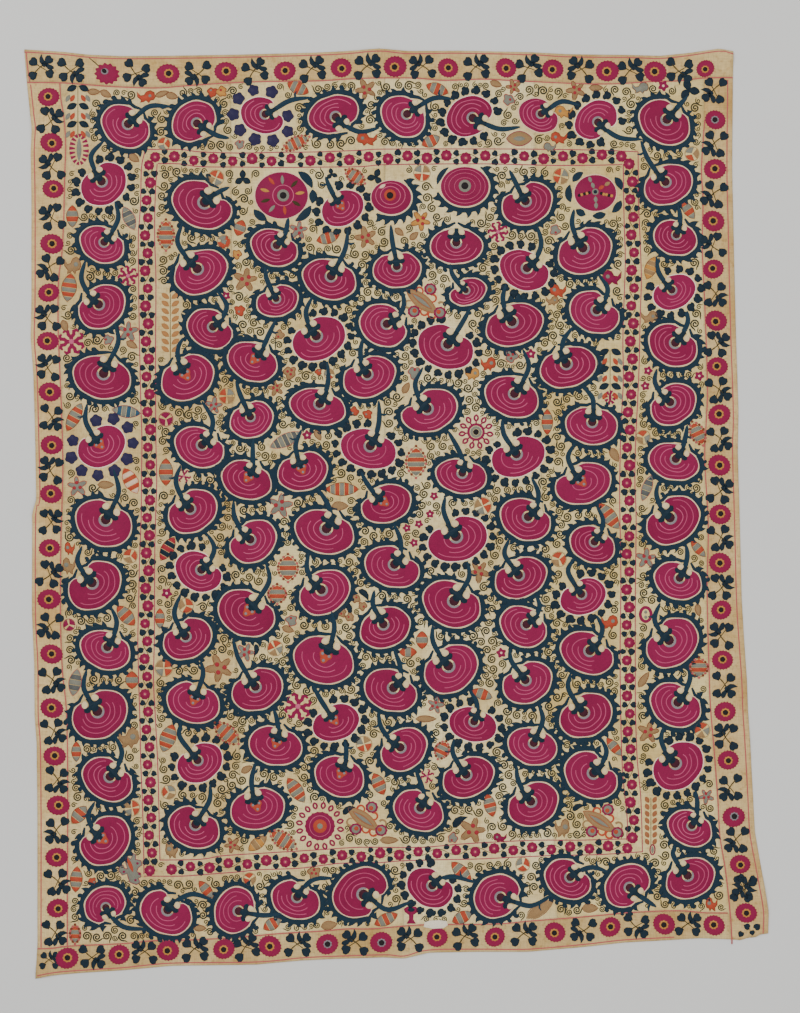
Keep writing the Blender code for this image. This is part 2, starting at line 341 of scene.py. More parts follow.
def silk_band_tree():
    """Geometry Nodes tree: a low arch of silk along each line, as wide as its points say."""
    kinds = {"Lines": "Geometry", "Rise": "Float", "Threads across": "Int", "Silk": "Material"}
    tree, given = new_tree("silk_band", kinds, "Band")
    half_width = point_value(tree, "half_width")
    drawn = node(tree, "GeometryNodeMeshToCurve", {"Mesh": given["Lines"]}).outputs[0]
    upright = node(tree, "GeometryNodeSetCurveNormal", {"Curve": drawn}, mode="Z_UP").outputs[0]
    along = remember(tree, upright, "Along", node(tree, "GeometryNodeSplineParameter").outputs["Length"])
    row = node(tree, "GeometryNodeMeshLine", {"Count": given["Threads across"]}, mode="END_POINTS")
    row.inputs["Start Location"].default_value = (-1.0, 0.0, 0.0)
    row.inputs["Offset"].default_value = (1.0, 0.0, 0.0)
    across = remember(tree, row.outputs[0], "Across", position(tree)[0])
    section = node(tree, "GeometryNodeMeshToCurve", {"Mesh": across[0]}).outputs[0]
    sweep = {"Curve": along[0], "Profile Curve": section, "Scale": half_width}
    swept = node(tree, "GeometryNodeCurveToMesh", sweep).outputs[0]
    crown = reckon(tree, "MULTIPLY_ADD", reckon(tree, "POWER", across[1], 4.0), -1.5, 1.0)
    spot = position(tree)
    arch = {0: spot[0], 1: spot[1], 2: reckon(tree, "MULTIPLY", crown, given["Rise"])}
    lifted = node(tree, "ShaderNodeCombineXYZ", arch).outputs[0]
    arched = node(tree, "GeometryNodeSetPosition", {"Geometry": swept, "Position": lifted}).outputs[0]
    run = {0: along[1], 1: reckon(tree, "MULTIPLY", across[1], half_width)}
    thread = node(tree, "ShaderNodeCombineXYZ", run).outputs[0]
    threads = {"Geometry": arched, "Name": "threads", "Value": thread}
    kept = node(tree, "GeometryNodeStoreNamedAttribute", threads, data_type="FLOAT_VECTOR", domain="CORNER")
    realized = node(tree, "GeometryNodeRealizeInstances", {0: kept.outputs[0]}).outputs[0]
    smooth = node(tree, "GeometryNodeSetShadeSmooth", {"Geometry": realized}).outputs[0]
    coloured = node(tree, "GeometryNodeSetMaterial", {"Geometry": smooth, "Material": given["Silk"]})
    node(tree, "NodeGroupOutput", {0: coloured.outputs[0]})
    return tree


SILK_BAND = silk_band_tree()


def new_work(middle=CHART_MIDDLE):
    """An empty lot of silk to be sewn as one piece, charted about a middle."""
    lot = {"points": [], "edges": [], "faces": [], "dye": [], "threads": [], "half_width": []}
    return {**lot, "middle": middle}


def draw_line(work, line, widths, dye, closed=False):
    """Add a drawn line in chart centimetres, with its width in centimetres at each point."""
    first = len(work["points"])
    line = np.asarray(line, dtype=float)
    count = len(line)
    widths = np.broadcast_to(widths, count)
    for (x, y), width in zip(line, widths):
        work["points"].append(((x - work["middle"][0]) * CM, (work["middle"][1] - y) * CM, 0.0))
        work["half_width"].append(width * CM / 2)
        work["dye"].append(dye)
    work["edges"] += [(first + step, first + step + 1) for step in range(count - 1)]
    if closed:
        work["edges"].append((first + count - 1, first))


def smooth_line(points, step_cm=0.6):
    """An even run of points on a soft curve through the given ones."""
    points = np.asarray(points, dtype=float)
    before = np.vstack([2 * points[0] - points[1], points[:-1]])
    after = np.vstack([points[1:], 2 * points[-1] - points[-2]])
    slopes = (after - before) / 2
    run = []
    for start, end, leave, arrive in zip(points[:-1], points[1:], slopes[:-1], slopes[1:]):
        count = max(int(np.hypot(*(end - start)) / step_cm), 1)
        for share in np.arange(count) / count:
            bend = share * share * (3 - 2 * share)
            pull = share * (1 - share) ** 2 * leave - share * share * (1 - share) * arrive
            run.append(start + (end - start) * bend + pull)
    return np.array(run + [points[-1]])


def plain_mesh(name, work):
    """The mesh of a lot of silk, with its dyes and the run of its threads."""
    mesh = bpy.data.meshes.new(name)
    mesh.from_pydata(work["points"], work["edges"], work["faces"])
    dye = mesh.attributes.new("dye", "FLOAT_COLOR", "POINT")
    dye.data.foreach_set("color", np.array(work["dye"], dtype=np.float32).ravel())
    if work["half_width"]:
        half_width = mesh.attributes.new("half_width", "FLOAT", "POINT")
        half_width.data.foreach_set("value", work["half_width"])
    if work["threads"]:
        threads = mesh.attributes.new("threads", "FLOAT_VECTOR", "POINT")
        threads.data.foreach_set("vector", np.array(work["threads"], dtype=np.float32).ravel())
        mesh.polygons.foreach_set("use_smooth", [True] * len(mesh.polygons))
    return mesh


def set_inputs(modifier, values):
    """Set a tree's inputs on its modifier by their sockets' identifiers."""
    for socket in modifier.node_group.interface.items_tree:
        if socket.in_out == "INPUT" and socket.name in values:
            modifier[socket.identifier] = values[socket.name]


def sew_lines(name, work, silk_used, rise_mm, threads_across=3):
    """Lay silk along every drawn line of a lot, as one plain piece."""
    piece = new_object(name, plain_mesh(name, work))
    band = piece.modifiers.new("band", "NODES")
    band.node_group = SILK_BAND
    set_inputs(band, {"Rise": rise_mm * 0.001, "Threads across": threads_across, "Silk": silk_used})
    bake_modifiers(piece)
    return piece


def sew_down(piece, lift_mm=0.0):
    """Press a flat piece of embroidery on the cloth, whose top it follows."""
    count = len(piece.data.vertices)
    places = np.empty(count * 3)
    piece.data.vertices.foreach_get("co", places)
    places = places.reshape(-1, 3)
    top = cloth_rise(places[:, 0] / CM + CHART_MIDDLE[0], CHART_MIDDLE[1] - places[:, 1] / CM)
    places[:, 2] += top + CLOTH_THICKNESS + lift_mm * 0.001
    piece.data.vertices.foreach_set("co", places.ravel())
    piece.data.update()
    add_plan_uv(piece.data)
    finish_piece(piece)


def sew_drawn(name, work, silk_used, rise_mm, threads_across=3, lift_mm=0.0):
    """Silk along every drawn line of a lot as one plain piece, pressed on the cloth."""
    sew_down(sew_lines(name, work, silk_used, rise_mm, threads_across), lift_mm)


def beside(line, shift, down_the_cloth=True):
    """A charted line moved sideways, as chart points."""
    return [(value + shift, stop) if down_the_cloth else (stop, value + shift) for stop, value in line]


brick_lines = new_work()
for seam in (
    beside(LEFT_EDGE[1:-2], 0.9) + [(10.3, 236.9)],
    beside(RIGHT_EDGE[1:], -1.3),
    beside(TOP_EDGE, 0.65, False),
    [(9.3, 243.9)] + beside(BOTTOM_EDGE[1:-7], -0.65, False),
    beside(LEFT_SEAM[1:-1], -0.15),
    beside(RIGHT_SEAM[1:], 0.15),
    [(6.6, 13.2), (6.9, 16.5), (7.4, 20.4)],
    beside(TOP_SEAM, 0.15, False),
    beside(BOTTOM_SEAM[:-1], -0.15, False) + [(181.9, 228.2)],
):
    draw_line(brick_lines, smooth_line(seam, 1.0), 2 * LINE_HALF_CM, BRICK)
brick_silk = silk("brick_silk", thread_mm=1.6)
sew_drawn("brick_lines", brick_lines, brick_silk, STITCH_RISE_MM, 5)

# The big flowers: kidney-shaped heads of crimson silk, worked in rows round a grey-eyed core, edged in
# cream, each curling round the mouth where its stem comes in. One to a line: the box of its head, the
# middle of its mouth, a point on the stem, the stem's far end, and letters for its kind.
CRIMSON, ROSE, CREAM, DOT_CREAM = (126, 16, 62), (178, 76, 110), (222, 186, 160), (217, 193, 146)
TEAL, NAVY, VIOLET, STEM_TEAL = dyed(16, 40, 54), dyed(16, 34, 46), dyed(38, 34, 66), dyed(18, 46, 62)
EYE_GREY, EYE_RED, EYE_DARK = dyed(128, 120, 124), dyed(168, 66, 44), dyed(62, 20, 34)
CALYX = dyed(17, 39, 52)
CORE_SHARE = 0.76
HEM_CM = 0.16
DOT_OFFSET, DOT_RADIUS = 0.24, 0.14
HORN_TURN, LIP_TURN = math.radians(24), math.radians(12)
OUTLINE_CM, ARC_CM, WREATH_CM = 0.35, 0.36, 1.5
EYE_SHARE, ORANGE_EYE_SHARE = 0.255, 0.17
ARC_PLACES = (0.21, 0.46, 0.73)
# The letters: s, l or v for a serrated, leafy or violet wreath, n for none; g or o for a core without
# or with orange; x where the stem has worn away. How far each kind of wreath reaches out, in cm:
WREATH_REACH = {"s": 1.6, "l": 2.15, "v": 3.0, "n": 0.4}
FLOWERS = """
25.3 26.1 37.5 37.1 34 29.2 37.5 26.6 42.8 26.7 sg,
42.9 25.1 54 35.5 51.6 32.5 54.3 33.9 57.3 34.6 sg,
60 24.1 71.2 33.7 68.4 27.6 72.5 25.2 77.6 24.4 vg,
77 23.7 89.7 33.5 85.7 31.3 90 33 94.8 32 sg,
95.2 23.9 106.4 34.4 104.5 26.7 108.5 24.6 113.3 24.8 sg,
111.3 23.8 123.3 34.4 120.7 30.8 125 32.3 130 31.8 lg,
129.5 24.4 139.7 33.4 137.1 27.3 140.5 25.4 145 26.4 ng,
143.4 24.9 154.5 35.1 151 32.3 155 34.5 160.5 34.9 lg,
159.7 24.8 172.5 36.4 168.5 27.8 170.3 25.8 171.9 24 sg,
161 41 173.1 51.4 164.3 43.4 161.8 39.5 160.2 35.2 sg,
163.3 54.9 174.2 64 170 56.6 170 54 169.5 51.5 sg,
163 68.4 174 77.7 166.2 70.8 164.5 67.8 164.1 64.2 lg,
162 80.9 174.3 91.8 170.6 83.7 171.9 80.6 171.8 77.8 sg,
162.5 95.7 174 106.4 165.4 99 163.7 95.5 164.2 92.3 sg,
162 110.7 174.7 120.2 170.6 112.6 171.4 109 171.8 106.3 sg,
161.5 123.8 174.9 136.2 165.4 127.6 164.1 123.8 164.6 120.4 sg,
163.4 140.4 175.4 150 171.2 142.4 171.8 139 171.5 136.2 sg,
161.5 154.3 174.5 167 165.1 158.3 163.6 154.8 165 150.8 sg,
162.4 170.6 175.2 181.9 171.2 173.5 172.5 169.5 172 166.3 sg,
163 185.2 176 197.7 166.5 188.6 165.3 185 165.9 181.6 lg,
166.9 202.3 178 211.7 174.3 204.4 174.3 200.5 173.8 197.5 sg,
166.5 214.3 178.7 224.8 169.8 216.7 168.2 213.5 168.8 211.3 sg,
151.1 215.8 162.4 226.8 159.3 223.6 161.8 225.2 164 226.7 sg,
136.1 214.6 147.7 224.9 144.4 217.7 148 216.8 151.9 217.9 sg,
118.4 218.4 130 229.5 128 225.3 133 226.4 138 223.7 sg,
101.5 216.7 113.5 227.1 109.7 219.6 113.5 219.1 118.8 220.6 lg,
83.2 216.7 97 229.5 93.2 225 97 227.4 102.8 225.4 sg,
67.8 219.9 80 229.9 75.4 222.2 78.5 219.8 83.2 219.5 sg,
53.6 221.6 63.9 233.4 62.4 228.4 66 228.8 70.4 228.4 sg,
35.1 222.3 48 233.8 43.1 225.5 48 223.5 53.6 225.1 sg,
21 221.4 31.4 230.9 27.3 228.8 31 231.7 36.8 232.3 sg,
20 203.9 32.7 216.4 23.3 208 22.1 204 23.7 200.5 so,
20.6 189.1 33.2 200.4 29.3 192.3 30.5 188 28.6 183.7 sg,
18 172.4 32 184.8 22.5 175.3 20.9 171.6 21.7 167.4 sg,
20 157.5 32.7 167.5 28.4 159.5 29.2 155.5 27.8 151.8 sg,
17 140.1 30.3 152.5 21.2 143.8 19.4 140.2 20.5 136.6 sg,
18.8 124.8 33.1 136.7 27.9 127.3 29.7 122.8 28.4 117.3 sg,
19.3 106.2 31.6 117.1 23.2 109 21.4 105.2 21.8 101 vo,
18.1 88.9 32.8 99.8 27.3 90.4 29.6 85.5 28.8 80.8 sg,
19.6 71.1 31.4 82.3 22.5 74.4 20.4 69.8 21.4 65 sg,
19.9 56.4 31.1 65.9 27.7 58.8 29.6 54.5 28.8 50.4 sg,
20.1 40.5 31.9 51.7 23.8 43.2 22.8 39 26 35.2 lg,
43 45 58.1 57.3 53.1 48.9 55.5 47.6 57.4 46.9 sg,
43.5 62.3 56.9 73.7 46.8 64.8 44.4 60.5 45.6 55.8 sg,
46.8 77.1 58.2 87.3 55.4 80.3 56.7 76.5 54.4 72.7 sg,
40.3 88.5 53.5 100.3 44.8 91.2 44.4 87.5 45.8 84.5 so,
43.6 106.6 56.1 117 52.5 109.5 53.2 105 50.5 100.3 sg,
42 122.2 54.3 133.4 45.7 125.2 44 120.5 45.2 116.3 sg,
43.6 137.6 55.7 148.2 52.4 141 53.6 137 51.7 133.3 lg,
40.8 154.3 53 165 45 157.2 43.6 153.3 45.2 148.5 sg,
41.7 170.2 55 180.9 49.6 172.4 50.8 168.5 50.2 165.1 so,
44.1 185.5 55.9 195.9 47.7 188 44.9 184 45.3 180.5 lg,
42.1 201.4 54.9 212.2 50.1 204 52.4 200 52.6 195.9 sg,
62.6 57.2 74.5 66.7 71 59.6 71.6 57.4 72.1 54.5 sg,
64.1 71.2 74.7 79.3 68.1 73.1 66.6 69.5 66.3 66.6 sg,
56.8 85.4 69.4 95.5 65.6 87.6 67.3 83.5 69 80 so,
57.5 100.2 68.4 109.6 61.6 102.1 60 98.5 59 95.2 sg,
55.3 115 67.9 125 63.5 117 63.2 113 63.4 109.8 so,
57.4 129.9 69.2 140.8 60.5 133.4 58.6 129 58.4 125.2 sg,
54.4 147.3 68.7 159.3 64.3 150.4 67.3 145.2 66.5 140.6 so,
58 166.9 70.8 177.8 62.3 169.5 59.6 164.5 58.2 159.6 sg,
62.1 181.3 75.5 191.4 69.9 183.1 69.2 179.6 68.4 177.2 so,
57.6 196.8 71.2 207.5 63.2 198.6 62.9 195 63.9 190.6 so,
80.2 47.3 91.1 56.9 83.6 49.3 82.4 46.8 81.4 44.2 lo,
75.5 64.7 89.1 75 84.2 66.6 86.3 62.3 87 57.6 sg,
72.9 78.9 86.5 90.5 77.2 81.8 76.5 78 78.1 74.2 lg,
72.4 97 86.4 106.4 81.4 98.7 82.1 94.8 81.8 90.4 sg,
69.4 112.8 82 122.9 74.5 114.8 73.9 111.3 75.4 107.4 so,
73.6 127.4 88.5 138.6 83.3 129.5 81.8 125.8 79.2 121.9 sg,
74.8 142.3 87.5 153.8 78 145.6 76.7 141.8 77.3 138.1 sg,
73.3 159 88.4 171.1 82.8 160.9 83.6 156.8 82.9 152.8 so,
78 175.7 90 185.5 82.1 178 80.1 174.8 78.2 171.3 lo,
78.7 188.8 91.1 199.3 86.4 190.7 86.6 187.8 86.1 185.1 so,
93.2 62.8 105.4 72 98.9 64.3 98.1 60.5 97.7 56.3 sg,
89.9 75.9 101.7 86.8 99.4 79.9 101 76.3 100.4 72.3 sg,
85.7 88.9 98.9 99.5 90.3 91.5 90.1 87.9 90.8 84.5 sg,
84.9 107 99.2 117.5 94.1 109.1 94.8 105 94.7 100.2 lg,
90.3 121 102.9 130.9 93.8 123.8 91.6 120.6 90.3 118 so,
91.1 136.4 104.9 147 100.4 139.3 100.1 135 98.4 130.8 sg,
90 151.6 102.6 162.2 94.4 153.5 93.2 151 93.6 147.6 sg,
91 167.1 104.2 178 100.6 170 99.9 166 98.4 162.1 sg,
95.1 181.8 106.8 192.8 97.6 185.4 95.2 181.6 94.6 177.8 sg,
98.4 197.3 110.8 207.9 106.5 199.8 105.4 196.5 103.8 192.1 sg,
107.4 57 120.7 66.1 114.1 58 114.3 55.2 114.4 52.6 sgx,
112.3 69.4 121.6 76.5 115.1 71.6 113.1 68.6 112.6 66.1 sg,
104.2 81 118.5 92.6 113.7 83.8 115.8 80.3 117.7 76.8 lg,
100.3 97.2 114.5 108.1 104.9 100.6 103.8 96 105.7 91.9 sg,
108.8 114.6 121.8 123.4 116.3 116 114.5 112.2 111.9 107.6 sg,
106.9 128.9 122.1 140.7 112.4 131.8 110.9 127.8 111.3 124.2 lg,
105.6 145 120.2 157 115.4 147.8 117.3 144.2 116.8 140.3 sg,
106 161 119.5 173.4 110.1 164.2 108.2 160.2 108.2 156.2 sg,
112 176.5 124.3 185.7 119.6 178.1 119 175.2 117.3 172.3 lg,
110.6 189 123.5 199.5 115 191.7 113.2 188.2 113.5 184.7 sg,
125.4 45.5 138.2 56.4 130.1 48.3 128.7 45.3 127.4 42.6 sg,
124.6 62.3 137.4 72.9 134 65.2 135.3 61 134.2 56.3 lg,
121.4 75.7 135.8 86.7 126.2 78 125.7 74.6 126.5 71 sg,
121.2 93.9 134.7 104.5 130.5 96 132.2 91.5 130.7 87.3 sg,
122.6 108.8 136.4 119.5 127.8 111.5 125.9 108.4 125.6 104.7 lg,
124.9 124.5 137.7 135.2 134.2 127.3 134.6 123.4 132.9 119.3 sg,
123.6 139.1 136.7 149.7 128.1 141.7 126.1 138.4 127.3 134.7 sg,
124.9 151.4 136.7 161.9 134 154.4 134.9 151.6 134.1 149 sg,
125.6 165.3 138.1 176 129.8 168 127.8 165.2 127.4 162.2 sg,
126.8 181.8 139.3 191.3 134.5 183.3 135.7 179.8 134.7 176.1 sg,
127 195.4 139.7 206.6 130.8 198.2 129.4 194.5 129.1 191.2 sg,
139.5 56.9 153 68.7 144 59.6 143 56 143.5 52.4 sg,
142.3 72.7 154.8 83.5 151 75.9 151.9 72.2 149.5 68.4 sg,
134.9 86.5 149.1 97 140.2 88.4 140.9 85 143.2 81.8 sg,
141.3 101.5 154.5 111.2 148.4 103 148.1 99.5 145.6 96.5 sg,
138.8 115.6 152.9 126.2 143.5 118.3 142 114.3 143.8 110.8 so,
142.4 131.3 153.7 140.9 150.2 133.5 150.8 130 149.2 126.5 sg,
139.9 144.3 151.7 154 143.9 146.6 142 142.8 143.5 139.6 lg,
140.1 157.7 153.4 168.7 149.5 161 150.6 157.2 149.1 153.8 sg,
139.9 173.2 153.1 184.5 144 175.8 142 171.8 142.7 168.2 sg,
141.1 187.7 154.4 199.8 150.2 191.6 151.6 188 150.2 184.4 sg,
"""


def sew_pad(work, outline, dye, height_mm=0.8, inset_cm=0.07, rings=0):
    """Add a satin-stitched shape with a soft edge, from its outline in chart centimetres."""
    rim = np.asarray(outline, dtype=float) - work["middle"]
    rim = rim * (CM, -CM)
    ahead = np.roll(rim, -1, axis=0)
    if (rim[:, 0] * ahead[:, 1] - ahead[:, 0] * rim[:, 1]).sum() < 0:
        rim = rim[::-1]
    edge = np.roll(rim, -1, axis=0) - np.roll(rim, 1, axis=0)
    outward = np.stack([edge[:, 1], -edge[:, 0]], axis=1) / np.maximum(np.hypot(*edge.T), 1e-9)[:, None]
    first, count = len(work["points"]), len(rim)
    step = np.arange(count)
    heart = rim.mean(axis=0)
    layers = [(rim, -0.3), (rim - outward * inset_cm * CM, height_mm)]
    layers += [(heart + (rim - heart) * share, height_mm) for share in np.linspace(1, 0, rings + 2)[1:-1]]
    for place, (layer, height) in enumerate(layers):
        for x, y in layer:
            work["points"].append((x, y, height * 0.001))
            work["threads"].append((x, y, 0.0))
            work["dye"].append(dye)
        low, high = first + (place - 1) * count + step, first + place * count + step
        if place:
            work["faces"] += np.stack([low, np.roll(low, -1), np.roll(high, -1), high], axis=1).tolist()
    work["faces"].append(high.tolist())


def sew_rows(work, core, turns, inner, outer, dye, height_mm=0.8, rows=4):
    """Add a head worked in rows round its core, between an inner and an outer edge."""
    first = len(work["points"])
    edge_cm = 0.09
    inner, outer = np.asarray(inner), np.asarray(outer)
    shares = [0.0, *np.linspace(0, 1, rows), 1.0]
    nudges = [0.0, edge_cm, *[0.0] * (rows - 2), -edge_cm, 0.0]
    for place, turn in enumerate(turns):
        for row, (share, nudge) in enumerate(zip(shares, nudges)):
            reach = inner[place] + (outer[place] - inner[place]) * share + nudge
            rim = place in (0, len(turns) - 1) or row in (0, len(shares) - 1)
            x = (core[0] + reach * math.cos(turn) - work["middle"][0]) * CM
            y = (work["middle"][1] - core[1] - reach * math.sin(turn)) * CM
            work["points"].append((x, y, -0.0003 if rim else height_mm * 0.001))
            work["threads"].append((turn * 0.04, reach * CM, 0.0))
            work["dye"].append(dye)
    line = np.arange(len(shares) - 1)
    for place in range(len(turns) - 1):
        here, there = first + place * len(shares) + line, first + (place + 1) * len(shares) + line
        work["faces"] += np.stack([here, there, there + 1, here + 1], axis=1).tolist()


def disc(x, y, radius, points=16, squash=1.0, lean=0.0):
    """Outline of a round or oval shape."""
    turns = np.linspace(0, 2 * math.pi, points, endpoint=False)
    flat_x, flat_y = radius * np.cos(turns), radius * squash * np.sin(turns)
    lean = math.radians(lean)
    across = flat_x * math.cos(lean) - flat_y * math.sin(lean)
    return np.stack([x + across, y + flat_x * math.sin(lean) + flat_y * math.cos(lean)], axis=1)


def turned(outline, x, y, lean=0.0, size=1.0):
    """An outline moved to a chart place, turned and sized."""
    angle = math.radians(lean)
    shape = np.asarray(outline, dtype=float) * size
    across = shape[:, 0] * math.cos(angle) - shape[:, 1] * math.sin(angle)
    down = shape[:, 0] * math.sin(angle) + shape[:, 1] * math.cos(angle)
    return np.stack([x + across, y + down], axis=1)


def scalloped(radius, squash, lobes, depth, points=48):
    """Outline of an oval with a toothed edge."""
    turns = np.linspace(0, 2 * math.pi, points, endpoint=False)
    reach = radius * (1 + depth * np.cos(lobes * turns))
    return np.stack([reach * np.cos(turns), reach * squash * np.sin(turns)], axis=1)


def motif(name, shapes, height_mm=0.7, inset_cm=0.05, rings=0):
    """A small shape that is sewn many times over, kept out of the scene: outlines and their dyes."""
    work = new_work((0.0, 0.0))
    for outline, dye in shapes:
        sew_pad(work, outline, dye, height_mm, inset_cm, rings)
    return bpy.data.objects.new(name, plain_mesh(name, work))


def uneven_value(tree, least, most, seed):
    """A random number for each point, between two values."""
    made = node(tree, "FunctionNodeRandomValue", {"Seed": seed}, data_type="FLOAT")
    limits = [socket for socket in made.inputs if socket.enabled and socket.name in ("Min", "Max")]
    tree.links.new(least, limits[0])
    tree.links.new(most, limits[1])
    return next(socket for socket in made.outputs if socket.enabled)


def sewn_on_tree():
    """Geometry Nodes tree: one small motif sewn at every point, turned and sized as the point says."""
    kinds = {"Places": "Geometry", "Motif": "Object", "Uneven size": "Float", "Uneven turn": "Float"}
    tree, given = new_tree("sewn_on", {**kinds, "Silk": "Material"}, "Sewn")
    smallest = reckon(tree, "SUBTRACT", 1.0, given["Uneven size"])
    largest = reckon(tree, "ADD", 1.0, given["Uneven size"])
    back = reckon(tree, "SUBTRACT", 0.0, given["Uneven turn"])
    some_size = uneven_value(tree, smallest, largest, 11)
    some_turn = uneven_value(tree, back, given["Uneven turn"], 23)
    sized = reckon(tree, "MULTIPLY", point_value(tree, "size"), some_size)
    turned_by = reckon(tree, "ADD", point_value(tree, "turn"), some_turn)
    about_z = node(tree, "ShaderNodeCombineXYZ", {2: turned_by}).outputs[0]
    flat = node(tree, "ShaderNodeCombineXYZ", {0: sized, 1: sized, 2: 1.0}).outputs[0]
    shape = node(tree, "GeometryNodeObjectInfo", {"Object": given["Motif"]}).outputs["Geometry"]
    copies = {"Points": given["Places"], "Instance": shape, "Rotation": about_z, "Scale": flat}
    sewn = node(tree, "GeometryNodeInstanceOnPoints", copies).outputs[0]
    realized = node(tree, "GeometryNodeRealizeInstances", {0: sewn}).outputs[0]
    coloured = node(tree, "GeometryNodeSetMaterial", {"Geometry": realized, "Material": given["Silk"]})
    node(tree, "NodeGroupOutput", {0: coloured.outputs[0]})
    return tree


SEWN_ON = sewn_on_tree()


def sew_copies(name, shape, places, silk_used, lift_mm=0.0, uneven=(0.08, 0.1)):
    """Sew one motif at each place: x, y, degrees that it leans down to the right, and size."""
    x, y, lean, size = np.array(places, dtype=float).T
    spots = np.stack([(x - CHART_MIDDLE[0]) * CM, (CHART_MIDDLE[1] - y) * CM, np.zeros_like(x)], axis=1)
    mesh = bpy.data.meshes.new(name)
    mesh.from_pydata(spots.tolist(), [], [])
    mesh.attributes.new("turn", "FLOAT", "POINT").data.foreach_set("value", -np.radians(lean))
    mesh.attributes.new("size", "FLOAT", "POINT").data.foreach_set("value", size)
    piece = new_object(name, mesh)
    sewing = piece.modifiers.new("sewing", "NODES")
    sewing.node_group = SEWN_ON
    values = {"Motif": shape, "Uneven size": uneven[0], "Uneven turn": uneven[1], "Silk": silk_used}
    set_inputs(sewing, values)
    bake_modifiers(piece)
    sew_down(piece, lift_mm)
    return piece


def sew_shapes(name, work, silk_used, lift_mm=0.0):
    """A lot of padded shapes as one plain piece, pressed on the cloth."""
    piece = new_object(name, plain_mesh(name, work))
    piece.data.materials.append(silk_used)
    sew_down(piece, lift_mm)
    return piece


def out_from(core, turn, reach):
    """The chart place at a turn and a reach from a core."""
    return core[0] + reach * math.cos(turn), core[1] + reach * math.sin(turn)


def walked_along(path):
    """How far along a path each of its points lies."""
    return np.concatenate([[0], np.cumsum(np.hypot(*np.diff(path, axis=0).T))])


def point_along(path, walked, spot):
    """The chart place at a distance along a path."""
    return np.array([np.interp(spot, walked, path[:, axis]) for axis in (0, 1)])


def at_distance(spot, lengths, *values):
    """What each run of values comes to at a distance along their path."""
    place = np.interp(spot, lengths, np.arange(len(lengths)))
    return [np.interp(place, np.arange(len(lengths)), run) for run in values]


def varied(colour, amount=9):
    """A colour as one dye lot gives it: a little darker or paler each time."""
    shift = dye_lots.uniform(-amount, amount)
    return dyed(*[min(max(part + shift * (0.6 + 0.4 * part / 255), 0), 255) for part in colour])


